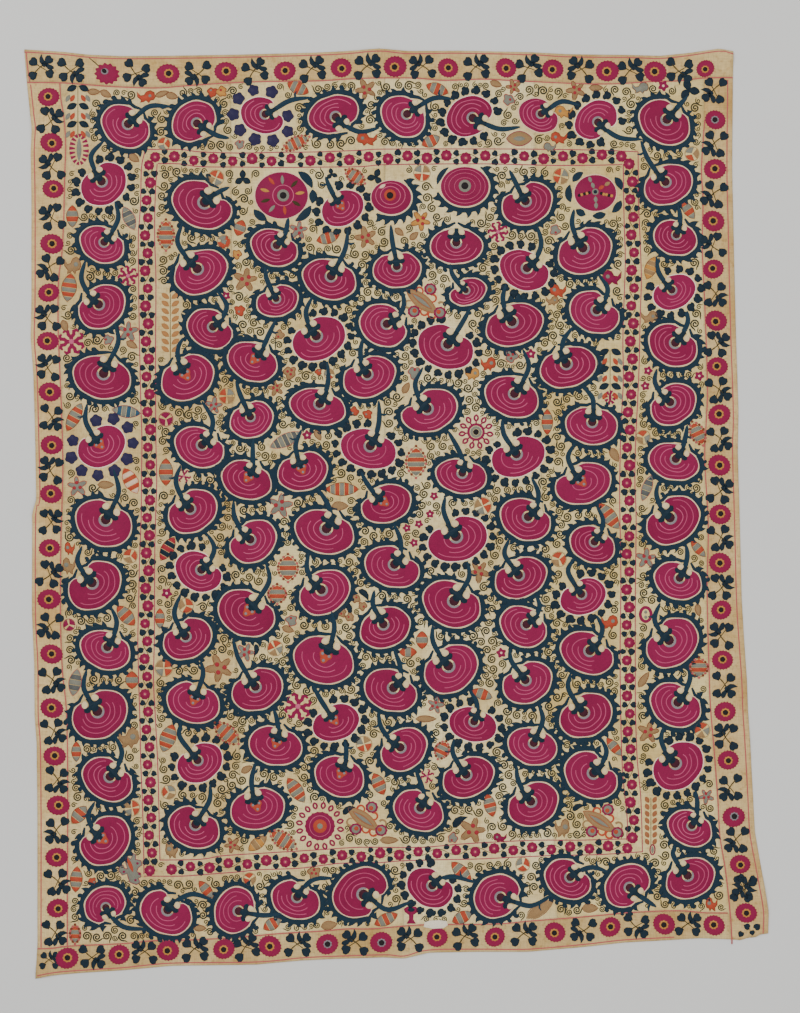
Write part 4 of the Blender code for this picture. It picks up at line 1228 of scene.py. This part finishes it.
# The small things sewn wherever ground was left: striped and beaded almond shapes, pinwheels, lace
# flowers, stars, plain leaves, little birds, feathered leaves and three medallions. Each list gives
# x and y, and then the size and lean that its kind needs.
STRIPED = (
    "18.1 54.1 3 5.6 0, 74.5 22 6 3.2 25, 109.3 22.3 6 3 20, 107.7 35.3 5 3 -25, 60 57 3 4.2 20,"
    "82 59.5 6 3 -15, 172 52.5 2.5 5.5 -35, 17.3 71.9 3.8 7.2 8, 136.8 105.5 2.8 6.5 0,"
    "85.5 122.3 8.5 3.3 0, 41.5 118 3.5 7 0, 31.5 153.9 6.6 3.4 48, 40 154.6 2.4 5.1 0, 33 170 3.3 4.5 0,"
    "42 184.5 4 7.5 20, 105.5 160 3 4.5 0, 102 163 4.5 2.5 0, 74 197.5 3.5 7.5 -35, 94.7 196 3.3 6 -25,"
    "120.5 173.5 5.5 2.7 20, 122.5 201.3 3 6 -15, 19.8 203.7 5.6 3.4 -50, 51.5 222.3 2.5 5.5 -40,"
    "68 231 5 3 -30, 96.5 229.8 6.5 3 -25, 115.5 229.3 5.5 3 -25, 115.3 217.9 7 3.2 45,"
    "152.2 129 8.2 3.6 52, 174.5 137.2 5.4 2.2 48, 56.2 60.5 2 3.4 15, 19.1 219.8 3.1 6.6 4,"
    "18.6 104.3 8 3.2 -62, 19.1 187.9 2.4 5.1 0, 153.5 186.7 5.8 2.4 50"
)
STRIPED_RED = "41.9 137.2 6.8 3.2 -60"
STRIPED_YELLOW = "162.7 67 3 6 20, 64.4 210.8 5.8 2.8 -38"
STRIPED_GREY = "161.7 122 2.5 7 20, 18.8 170.6 3.2 7 10, 71.5 110 9 3.2 -25, 32.3 54.6 6.5 3 65"
STRIPED_BLUE = "31.6 102.9 7.3 3 8"
STRIPED_CREAM = "32.7 120.2 7.2 3.6 62"
BEADED = (
    "74 35.8 7.5 3 -25, 88.8 44.2 6 3.2 35, 41.5 58.8 4.1 7.8 0, 104 115.5 5 8 0, 69.3 148.5 4.5 5 0,"
    "174.4 108.4 3.6 6.6 -25, 174.7 166.9 4.5 5 0, 56.7 183.3 8 4 42, 110.5 187.5 3.5 5 25,"
    "70.8 210 8 3.9 33, 18.8 233.5 2.6 4.8 0, 72 142 5 7 0"
)
PINWHEELS = (
    "41 36 1.6, 62.4 219.7 1.6, 130.7 216.1 1.8, 32.6 139 1.8, 140.2 44.1 2, 173 38.5 1.8, 56.7 99 2,"
    "46.5 151.4 1.9, 139.7 139.8 1.9, 120.7 126.5 2.2, 160.8 109.3 1.8, 68.8 162 2, 91 186 2,"
    "175.5 182.5 2, 42.2 198 1.8, 33 202 2, 56 60.5 1.7, 41 167 2.2, 105.5 43.3 2.1, 54 44.5 2,"
    "82.3 93.5 1.3"
)
CRIMSON_WHEELS = "17.3 156.2 1.5, 41.5 104.8 1.8"
LACE = (
    "17.9 85.4 2.9, 32 69 2.2, 74.5 176.6 3, 124.5 58 2.2, 41.7 148.3 1.4, 46 119 1.5, 165.8 21.5 1.4,"
    "56.5 74 1.2, 132.7 88.5 1.3, 76.8 108.8 1.3, 108.5 124 1.1, 107.5 128.5 1.1, 104.7 131 1.1,"
    "101.7 132 1.1, 103.5 135.7 1.1, 125.3 163.2 1.3, 106.8 194 1.5, 162 92.7 1.2, 161.3 96.5 1.2,"
    "174.8 94 1.3"
)
STARS = {
    "tan": (
        "144 22.5 2.4, 91.5 22.5 2.6, 61.5 70 3, 72.5 93 1.8, 69 97 1.9, 55 167 3.4, 119.7 142.8 2.7,"
        "118.2 207.5 3.3, 58 211.2 2, 91.5 59.5 2.7, 69.8 83.8 1.3, 128.3 21.8 1.9, 162.2 183 2.7,"
        "78.5 218 1.8, 88.9 149.7 1.2, 90.6 151.4 1.2, 85.6 153.1 1.2, 87.5 154.4 1.2"
    ),
    "grey": (
        "74.7 57.5 2.3, 60 36 1.3, 53.5 101.5 2.1, 127.7 89 1.8, 19.3 121.5 2.5, 70 126.3 3, 61.5 163 2.3,"
        "108.8 176.3 2.1, 176.5 199 1.9, 73 155 1.6, 138.7 57.7 1.5, 103.5 93 1.7, 127 25 1.6,"
        "32 82.8 2.5, 27 84.9 1.4, 113.2 209.6 1.4, 161.6 139.6 2.5"
    ),
    "orange": "53 23 1.4, 23.2 220.3 1.1, 60 77.5 1.5, 88.5 103 1.3, 92 103.5 1.3, 79.7 93 0.9",
    "yellow": "55.5 23 1.5, 105.3 55.2 2.5, 59.2 63.5 1.3",
}
BIRDS = {
    "orange": (
        "36.5 24.2 4.4 2.6, 139.8 34.5 4 2.6, 91.8 34.8 5 2.8, 122 91 3.6 3, 139.5 72.7 4 3,"
        "152.3 155.5 4 3, 17.5 137.1 2.4 2.8, 177.9 226 2.8 3"
    ),
    "tan": (
        "32.1 184.5 5 4.4, 18.1 66.4 4 3.6, 17.3 141.5 3 3.6, 138 75.2 3 2, 162.3 79.3 4 2.6,"
        "43 212.5 3 3.6, 140.5 207 3.4 4"
    ),
    "yellow": "141 28 4.4 2.6, 118 93.5 3.4 2.6",
    "grey": "137.5 36.8 3 2, 160 22 4 2.4",
    "crimson": "153 69.4 4.6 3.2, 125 209.4 3.2 2",
}
TAN_LEAVES = (
    "43 24 3 1.6 15, 23.5 23 3 1.4 0, 26.5 23.5 3 1.5 30, 40.5 23.5 3.4 1.3 -20, 33.5 39.5 3 1.7 35,"
    "99.8 58 2.6 1.4 40, 103.5 59 2.6 1.4 -40, 124 21 3 1.5 20, 149 22 3.4 1.5 0, 16.2 81.5 3 1.6 70,"
    "33 86.2 3 1.5 30, 79.5 108.8 2.8 1.4 60, 101.5 97 3 1.5 -60, 85 126.5 4 2 0, 26.5 121.2 4 1.7 0,"
    "135 227.3 7.8 2.8 -33, 153.6 113.7 3.8 1.9 60, 72 157.3 3 1.5 20, 61.7 192.3 3 1.5 -30,"
    "106.5 179.7 5 1.5 0, 160.9 169.9 4.4 1.6 -55, 97.3 210 4.5 1.6 0, 147.5 227 4 2 0,"
    "82.3 231.3 4 2 -10, 174.5 152.5 3 1.4 80, 50 232 3 1.4 0"
)
COMMAS = (
    "91 148.5 30 1.3, 87.2 152.2 60 1.2, 64 162.4 80 1.1, 114.7 205.4 -55 1.6, 87 202.5 -50 1.3,"
    "144.4 201.8 -40 1.2"
)
MEDALLION_CURLS = "-0.6 -2.5 200, 2.7 -0.7 280, 4.9 1.2 250, 0.7 2.6 20, 2.6 3.4 60, -3.2 0.8 110"
MEDALLIONS = "105.4 75.3 1 38, 90.8 204.7 0.98 36, 149.8 205.3 0.98 32"
GREY_LEAF = [
    (-1.55, -3.45), (-0.25, -2.6), (0.35, -4.05), (0.95, -3.7), (0.85, -2.6), (2.25, -2.25), (2.5, -1.2),
    (1.55, -0.5), (1.2, 0.5), (2.15, 0.95), (2.25, 1.8), (1.55, 2.15), (2.05, 3.1), (1.1, 3.7),
    (-0.5, 3.1), (-0.85, 2.15), (-1.2, 0.95), (-2.4, 1.3), (-3.25, 0.25), (-3.1, -0.7), (-2.25, -1.2),
    (-1.8, -0.25), (-1.1, -0.25), (-1.55, -1.9),
]
GREY_LEAF_AT, WIDE_LEAF_AT, GOBLET_AT = (33.0, 217.4), (129.8, 34.7), (102.8, 228.7)
RING_AT, OVAL_RING_AT = (161.4, 153.6), (163.1, 212.4)
PAD, FINE_PAD = (0.7, 0.05), (0.7, 0.04)
small_pads, small_tops, small_edges = new_work(), new_work(), new_work()
DYES = {"tan": TAN, "grey": GREY, "orange": ORANGE, "yellow": YELLOW, "crimson": PLAIN_CRIMSON}


def almond(x, y, wide, high, lean, stripes, edge_dye, beads=False):
    """A striped almond: bands of silk across it, a thin outline, and beads along its edge if it has them."""
    long, broad = max(wide, high), min(wide, high)
    lean += 90 if high > wide else 0
    count = max(round(long / 1.3), 3)
    marks = np.linspace(-0.5, 0.5, count + 1)
    shrink = 0.86 if beads else 0.95
    for place in range(count):
        share = np.linspace(marks[place] + 0.008, marks[place + 1] - 0.008, 4)
        swell = np.maximum(np.sin(math.pi * (share + 0.5)) ** 0.7 * broad / 2 * shrink, 0.05)
        top = np.stack([share * long * shrink, swell], axis=1)
        band = np.vstack([top, (top * (1, -1))[::-1]])
        sew_pad(small_pads, turned(band, x, y, lean), stripes[place % len(stripes)], 0.7, 0.03)
    outline = spindle(x, y, long, broad, lean, 9)
    draw_line(small_edges, outline, 0.17, edge_dye, closed=True)
    if beads:
        for place, spot in enumerate(outline):
            sew_pad(small_tops, disc(*spot, 0.34, 7), BRICK if place % 2 else BROWN, 0.8, 0.03)
    aim = math.radians(lean)
    for far in np.linspace(-0.35, 0.35, 4) * long:
        taken.append((x + far * math.cos(aim), y + far * math.sin(aim), broad / 2 + 0.25))


RED_DYE, BLUE_DYE, BUFF, SLATE = dyed(150, 40, 48), dyed(44, 78, 100), dyed(150, 92, 58), dyed(84, 86, 84)
for listed, stripes, edge_dye in (
    (STRIPED, (ORANGE, GREY), BROWN), (STRIPED_RED, (RED_DYE, NAVY), BROWN),
    (STRIPED_YELLOW, (YELLOW, TAN), BROWN), (STRIPED_GREY, (GREY, SLATE), BRICK),
    (STRIPED_BLUE, (GREY, BLUE_DYE), PLAIN_CRIMSON), (STRIPED_CREAM, (ORANGE, CREAM_SILK), ORANGE),
):
    for numbers in read_places(listed):
        almond(*numbers, stripes, edge_dye)
for numbers in read_places(BEADED):
    almond(*numbers, (ORANGE, GREY), BROWN, beads=True)
for x, y, radius in read_places(PINWHEELS + ", " + CRIMSON_WHEELS):
    crimson_one = f"{x:g} {y:g}" in CRIMSON_WHEELS
    wheel_dyes = (PLAIN_CRIMSON,) * 4 if crimson_one else (ORANGE, ORANGE, GREY, TAN)
    edge_dye = PLAIN_CRIMSON if crimson_one else TAN
    draw_line(small_edges, disc(x, y, radius, 16), 0.2, edge_dye, closed=True)
    blades = 3 if radius < 2 else 4
    for blade in range(blades):
        turns = np.linspace(0, 2 * math.pi / blades * 0.78, 6) + blade * 2 * math.pi / blades + x
        wedge = [(x + 0.15 * math.cos(turns[2]), y + 0.15 * math.sin(turns[2]))]
        wedge += [(x + radius * 0.93 * math.cos(turn), y + radius * 0.93 * math.sin(turn)) for turn in turns]
        sew_pad(small_pads, wedge, wheel_dyes[(blade + int(y)) % 4], *FINE_PAD)
    taken.append((x, y, radius + 0.3))
for x, y, radius in read_places(LACE):
    taken.append((x, y, radius + 0.15))
    if radius < 1.45:
        petals = turned(scalloped(radius * 0.85, 1.0, 5, 0.2, 30), x, y, 40 * x)
        sew_pad(small_pads, petals, PLAIN_CRIMSON, *FINE_PAD)
        sew_pad(small_tops, disc(x, y, radius * 0.26, 8), CREAM_SILK, *FINE_PAD)
        continue
    for turn in np.linspace(0, 360, 4 if radius > 2 else 3, endpoint=False) + 40 * x:
        for flip in (-1, 1):
            arm = [(0.2, 0.0), (0.42, 0.05), (0.62, 0.24), (0.88, 0.26), (0.98, 0.5), (0.8, 0.68)]
            arm = turned(np.array(arm) * (1, flip), x, y, turn, radius)
            draw_line(small_edges, arm, np.array([0.38, 0.4, 0.4, 0.42, 0.36, 0.2]) * radius, PLAIN_CRIMSON)
    sew_pad(small_tops, disc(x, y, radius * 0.24, 8), PALE_ROSE, *FINE_PAD)
for kind, listed in STARS.items():
    edge_dye, dot_dye = RED_DYE if kind == "grey" else BROWN, GREY if kind == "orange" else RED_DYE
    for x, y, radius in read_places(listed):
        turns = np.linspace(0, 2 * math.pi, 30, endpoint=False)
        lobed = radius * (0.78 + 0.2 * np.sin(turns + x) * np.cos(2 * turns) + 0.1 * np.sin(5 * turns + y))
        if radius > 1.85:
            lobed = radius * (0.7 + 0.08 * np.sin(turns + x) + 0.3 * np.cos(5 * turns + y))
        shape = np.stack([lobed * np.cos(turns), lobed * np.sin(turns)], axis=1)
        sew_pad(small_pads, shape + (x, y), DYES[kind], *PAD)
        draw_line(small_edges, shape * 1.05 + (x, y), 0.24, edge_dye, closed=True)
        for turn in (0.4, 2.5, 4.6) if radius > 1.7 else (0.0,):
            spot = (x + 0.34 * radius * math.cos(turn + y), y + 0.34 * radius * math.sin(turn + y))
            sew_pad(small_tops, disc(*spot, 0.15 * radius + 0.1, 8), dot_dye, 0.9, 0.04)
        taken.append((x, y, radius + 0.1))
BIRD = [
    (-0.52, 0.02), (-0.45, -0.3), (-0.24, -0.44), (-0.02, -0.34), (0.1, -0.1), (0.3, -0.06), (0.5, -0.36),
    (0.46, 0.02), (0.26, 0.24), (0.3, 0.42), (0.12, 0.36), (0.0, 0.26), (-0.16, 0.44), (-0.24, 0.26),
    (-0.42, 0.22),
]
for kind, listed in BIRDS.items():
    for x, y, wide, high in read_places(listed):
        flip = 1 if int(x) % 2 else -1
        bird = np.array(BIRD) * (wide, high * 1.3) * (flip, 1)
        sew_pad(small_pads, bird + (x, y), DYES[kind], *FINE_PAD)
        draw_line(small_edges, bird * 1.04 + (x, y), 0.2, BROWN, closed=True)
        eye = disc(x - 0.23 * flip * wide, y - 0.08 * high, 0.17 * high, 9)
        sew_pad(small_tops, eye, GREY, 0.9, 0.04)
        taken.append((x, y, max(wide, high) / 2 + 0.1))
for x, y, long, wide, lean in read_places(TAN_LEAVES):
    sew_pad(small_pads, spindle(x, y, long, wide, lean, 6, 0.42), TAN, *PAD)
    draw_line(small_edges, spindle(x, y, long * 1.05, wide * 1.1, lean, 6, 0.42), 0.2, BROWN, closed=True)
    taken.append((x, y, long / 2 + 0.1))
for x, y, size, lean in read_places(MEDALLIONS):
    sew_pad(small_pads, spindle(x, y, 9.6 * size, 3.3 * size, lean, 10), TAN, 0.6, 0.05, 1)
    draw_line(small_edges, spindle(x, y, 9.6 * size, 3.3 * size, lean, 10), 0.45, BUFF, closed=True)
    sew_pad(small_tops, spindle(x, y, 6.8 * size, 1.6 * size, lean, 8), BUFF, *PAD)
    sew_pad(small_tops, spindle(x, y, 6.0 * size, 1.0 * size, lean, 8), GREY, 1.0, 0.05)
    for across, down in np.array([(2.2, -3.0), (4.6, 2.9), (-1.9, 2.6)]) * size:
        knot = turned(scalloped(1.6 * size, 0.94, 9, 0.05, 36), x + across, y + down)
        sew_pad(small_pads, knot, PLAIN_CRIMSON)
        sew_pad(small_tops, disc(x + across, y + down, 1.1 * size, 14), GREY, 0.75, 0.05)
        sew_pad(small_tops, disc(x + across * 0.92, y + down * 0.92, 0.62 * size, 10), ORANGE, 1.0, 0.05)
    for across, down, first_turn in read_places(MEDALLION_CURLS):
        bow = np.radians(first_turn + np.linspace(-30, 190, 9))
        bow = np.stack([across + 0.95 * np.cos(bow), down + 0.95 * np.sin(bow)], axis=1) * size
        curl_dye = (ORANGE, TAN)[int(first_turn / 10) % 2]
        draw_line(small_edges, bow + (x, y), np.linspace(0.75, 0.45, 9), curl_dye)
    taken.append((x + size, y, 4.9 * size))
sew_pad(small_pads, turned(GREY_LEAF, *GREY_LEAF_AT), GREY, *PAD)
draw_line(small_edges, turned(GREY_LEAF, *GREY_LEAF_AT), 0.34, PLAIN_CRIMSON, closed=True)
sew_pad(small_tops, spindle(32.6, 216.2, 4.0, 1.0, 68), ORANGE, 0.8, 0.04)
for x, y in ((31.0, 217.9), (33.9, 220.0), (34.9, 218.4), (34.4, 215.8)):
    sew_pad(small_tops, disc(x, y, 0.34, 8), PLAIN_CRIMSON, 0.8, 0.04)
taken += [(*GREY_LEAF_AT, 3.1), (32.6, 214.6, 1.2), (33.8, 220.4, 1.2)]
patch = new_work()
patch_outline = [
    (105.9, 231.7), (106.1, 230.5), (107.6, 230.1), (109.8, 230.0), (111.6, 230.2), (112.0, 231.2),
    (110.9, 232.0), (108.3, 232.2),
]
sew_pad(patch, patch_outline, dyed(226, 214, 192), 0.8, 0.1)
sew_shapes("darned_patch", patch, cream_silk, lift_mm=0.5)


def leaf_spray(x, start, end, pitch, long, wide, lean, dye):
    """Pairs of leaves up both sides of a stalk."""
    draw_line(small_edges, [(x, start - 0.5), (x, (start + end) / 2), (x, end + 0.8)], 0.2, OLIVE)
    for y in np.arange(start, end, pitch):
        for side in (-1, 1):
            spot = (x + side * long * 0.52, y)
            sew_pad(small_pads, spindle(*spot, long, wide, -side * lean, 6, 0.5), dye, *FINE_PAD)
        taken.append((x, y, long + 0.4))


leaf_spray(42.6, 74, 89, 1.9, 2.4, 1.25, 35, dyed(164, 112, 64))
leaf_spray(162.7, 199.9, 211, 1.75, 1.8, 1.15, 60, BUFF)
for x, first_y, gap, count in ((19.5, 22.1, 4.5, 3), (152.5, 88.0, 4.3, 3)):
    leaf_spray(x, first_y, first_y + gap * (count - 0.5), gap, 2.9, 1.7, -25, NAVY)
    for place in range(count):
        for side in (-1, 1):
            for far, dye in ((1.35, ORANGE), (2.5, GREY)):
                petal = spindle(x + side * far, first_y + gap * (place + 0.56), 2.1, 1.1, side * 60, 6)
                sew_pad(small_pads, petal, dye, *FINE_PAD)
        taken.append((x, first_y + gap * (place + 0.5), 2.6))
for x, y, long, broad in ((19.8, 37.4, 7.8, 4.9), (152.5, 99.4, 3.6, 2.8)):
    middle_dye = GREY if long > 5 else PLAIN_CRIMSON
    sew_pad(small_pads, spindle(x, y, long * 0.8, broad * 0.26, 90), middle_dye, *PAD)
    rim = disc(0, 0, broad / 2, 120, long / broad)
    around_rim = walked_along(rim)
    for place in np.arange(0.4, around_rim[-1], 1.25):
        aim = point_along(rim, around_rim, place)
        root = aim * (0.42, 0.8 if long > 5 else 0.5)
        ray = (x, y) + np.array([root, (root + aim * 2) / 3, aim])
        draw_line(small_edges, ray, [0.5, 0.85, 1.15], PLAIN_CRIMSON)
    for step in np.linspace(-0.4, 0.4, 5):
        taken.append((x, y + step * long, broad / 2 + 0.3))
for x, y, lean, long in (
    (60.7, 44.7, 0.5, 2.4), (172.2, 22.5, 0.2, 3.0), (93.9, 44.3, 0.9, 2.4), (82.9, 43.6, 0.3, 1.7),
):
    for part in range(3):
        turn = part * 2.1 + lean
        spot = (x + long * 0.46 * math.cos(turn), y + long * 0.46 * math.sin(turn))
        sew_pad(small_pads, spindle(*spot, long, long * 0.7, math.degrees(turn)), NAVY, *PAD)
    taken.append((x, y, long))
for x, y, lean, size in read_places(COMMAS):
    sew_pad(small_pads, turned(comma_leaf, x, y, lean, size), NAVY, *PAD)
    taken.append((x, y, size * 1.1))
sew_pad(small_pads, spindle(*WIDE_LEAF_AT, 6.4, 3.6, 0, 10), TAN, *PAD)
draw_line(small_edges, spindle(*WIDE_LEAF_AT, 6.4, 3.6, 0, 10), 0.36, PLAIN_CRIMSON, closed=True)
sew_pad(small_tops, spindle(*WIDE_LEAF_AT, 3.2, 1.3, 0), GREY, *PAD)
taken += [(128.2, 34.7, 2.0), (131.4, 34.7, 2.0), (*RING_AT, 2.4)]
taken += [(163.1, 211.8, 1.0), (163.1, 213.0, 1.0)]
ring_line(small_edges, *RING_AT, 1.35, 0.95, PLAIN_CRIMSON, 1.3)
ring_line(small_edges, *OVAL_RING_AT, 0.62, 0.42, PLAIN_CRIMSON, 2.0)
sew_pad(small_tops, spindle(*OVAL_RING_AT, 1.9, 0.7, 90), GREY, *FINE_PAD)
for y in (153.0, 154.3):
    sew_pad(small_tops, disc(161.4, y, 0.42, 8), GREY, 0.9, 0.04)
goblet = [
    (-1.9, -1.5), (-1.1, -2.1), (1.1, -2.1), (1.9, -1.5), (1.6, -0.7), (0.6, 0.0), (0.55, 1.1),
    (1.2, 2.2), (-1.2, 2.2), (-0.55, 1.1), (-0.6, 0.0), (-1.6, -0.7),
]
sew_pad(small_pads, turned(goblet, *GOBLET_AT), PLAIN_CRIMSON, *PAD)
sew_pad(small_tops, disc(102.8, 227.4, 0.9, 10, 0.6), NAVY, 0.8, 0.04)
taken.append((*GOBLET_AT, 2.6))
sew_shapes("small_motifs", small_pads, border_silk)
sew_drawn("small_motif_edges", small_edges, border_silk, 0.7, lift_mm=0.15)
sew_shapes("small_motif_tops", small_tops, border_silk, lift_mm=0.35)

# Curling tendrils fill the last of the ground: each is one olive thread coiled once or twice, sewn as big
# as its gap allows. The gaps are found from what is already sewn, the biggest first.
CELL_CM, OFF_SEAM_CM = 0.25, 0.7
GROUND_LEFT, GROUND_RIGHT, GROUND_TOP, GROUND_BOTTOM = 14, 186, 18, 240
SHORT_BELOW_CM = 0.75
columns = np.arange(GROUND_LEFT, GROUND_RIGHT, CELL_CM)
columns, rows = np.meshgrid(columns, np.arange(GROUND_TOP, GROUND_BOTTOM, CELL_CM))
free = columns > follow(LEFT_SEAM, rows) + OFF_SEAM_CM
free &= columns < follow(RIGHT_SEAM, rows) - OFF_SEAM_CM
free &= rows > follow(TOP_SEAM, columns) + OFF_SEAM_CM
free &= rows < follow(BOTTOM_SEAM, columns) - OFF_SEAM_CM


def fill_gap(x, y, radius, ground):
    """Mark a round of the ground as taken."""
    left, top = int((x - radius - GROUND_LEFT) / CELL_CM), int((y - radius - GROUND_TOP) / CELL_CM)
    wide = int(2 * radius / CELL_CM) + 3
    part = slice(max(top, 0), max(top + wide, 0)), slice(max(left, 0), max(left + wide, 0))
    ground[part] &= (columns[part] - x) ** 2 + (rows[part] - y) ** 2 > radius**2


for x, y, radius in taken:
    fill_gap(x, y, radius, free)
coils = {"tendrils": [], "dark_tendrils": [], "short_tendrils": []}
for radius in (1.25, 1.13, 1.02, 0.91, 0.8, 0.7, 0.6):
    room = free.copy()
    reach = int(radius / CELL_CM)
    for down in range(-reach, reach + 1):
        for across in range(-reach, reach + 1):
            if math.hypot(down, across) <= radius / CELL_CM:
                room &= np.roll(free, (down, across), axis=(0, 1))
    spots = np.argwhere(room)
    np.random.default_rng(int(radius * 100)).shuffle(spots)
    for row, column in spots:
        if room[row, column]:
            x, y = columns[row, column], rows[row, column]
            kind = "short_tendrils"
            if radius > SHORT_BELOW_CM:
                kind = hand.choice(("tendrils", "tendrils", "dark_tendrils"))
            coils[kind].append((x, y, hand.uniform(0, 360), radius + 0.08))
            fill_gap(x, y, radius * 2, room)
            fill_gap(x, y, radius, free)
DARK_OLIVE, PALE_OLIVE = dyed(32, 36, 26), dyed(55, 51, 30)
for name, coil_turns, start_reach, width, dye, flip in (
    ("tendrils", 1.85, 0.1, 0.43, PALE_OLIVE, 1), ("dark_tendrils", 1.75, 0.12, 0.43, DARK_OLIVE, -1),
    ("short_tendrils", 1.35, 0.1, 0.52, PALE_OLIVE, 1),
):
    turns = np.linspace(0, coil_turns * 2 * math.pi, round(coil_turns * 12))
    reach = np.interp(turns, [0, turns[-1]], [start_reach, 0.86])
    coil = np.stack([reach * np.cos(turns), reach * np.sin(turns)], axis=1)
    onward = np.array([-math.sin(turns[-1]), math.cos(turns[-1])])
    outward = np.array([math.cos(turns[-1]), math.sin(turns[-1])])
    tail = [coil[-1] + onward * 0.4 + outward * 0.06, coil[-1] + onward * 0.75 + outward * 0.3]
    coil = np.vstack([coil, *tail])
    one = new_work((0.0, 0.0))
    widths = np.append(np.full(len(coil) - 2, width), [width * 0.8, width * 0.4])
    draw_line(one, coil * (1, flip), widths, dye)
    tendril = sew_lines("one_of_" + name, one, dark_silk, 0.6)
    bpy.context.scene.collection.objects.unlink(tendril)
    sew_copies(name, tendril, coils[name], dark_silk, uneven=(0.04, 0.2))

# The stage: a plain pale floor, soft light from above and both sides, and a camera straight overhead,
# as the cloth was looked at.
FLOOR_HALF, CAMERA_HEIGHT, VIEW_WIDTH, SENSOR_MM = 6.0, 5.0, 2.0, 36.0
VIEW_MIDDLE = (100.0, 126.625)
floor_mesh = bpy.data.meshes.new("floor")
floor_corners = [(x * FLOOR_HALF, y * FLOOR_HALF, 0.0) for x, y in ((-1, -1), (1, -1), (1, 1), (-1, 1))]
floor_mesh.from_pydata(floor_corners, [], [(0, 1, 2, 3)])
floor_finish, _, floor_shader = new_finish("floor_finish")
floor_shader.inputs["Base Color"].default_value = dyed(214, 214, 212)
floor_shader.inputs["Roughness"].default_value = 0.9
floor_mesh.materials.append(floor_finish)
new_object("floor", floor_mesh)

for light_name, spot, width, watts in (
    ("key_light", (-2.6, 2.4, 3.6), 2.4, 93.0),
    ("fill_light", (2.8, 1.2, 3.4), 2.6, 51.0),
    ("foot_light", (0.2, -3.2, 3.2), 2.6, 39.0),
):
    lamp = bpy.data.lights.new(light_name, "AREA")
    lamp.shape = "DISK"
    lamp.size = width
    lamp.energy = watts
    made = new_object(light_name, lamp)
    made.location = spot
    made.rotation_euler = (-Vector(spot)).to_track_quat("-Z", "Y").to_euler()
world = bpy.data.worlds.new("soft_room")
world.use_nodes = True
world.node_tree.nodes["Background"].inputs["Color"].default_value = (1.0, 0.99, 0.97, 1.0)
world.node_tree.nodes["Background"].inputs["Strength"].default_value = 0.82
bpy.context.scene.world = world

lens = bpy.data.cameras.new("overhead_camera")
lens.sensor_fit = "HORIZONTAL"
lens.sensor_width = SENSOR_MM
lens.lens = SENSOR_MM * CAMERA_HEIGHT / VIEW_WIDTH
camera = new_object("overhead_camera", lens)
off_x, off_y = VIEW_MIDDLE[0] - CHART_MIDDLE[0], CHART_MIDDLE[1] - VIEW_MIDDLE[1]
camera.location = (off_x * CM, off_y * CM, CAMERA_HEIGHT)
bpy.context.scene.camera = camera
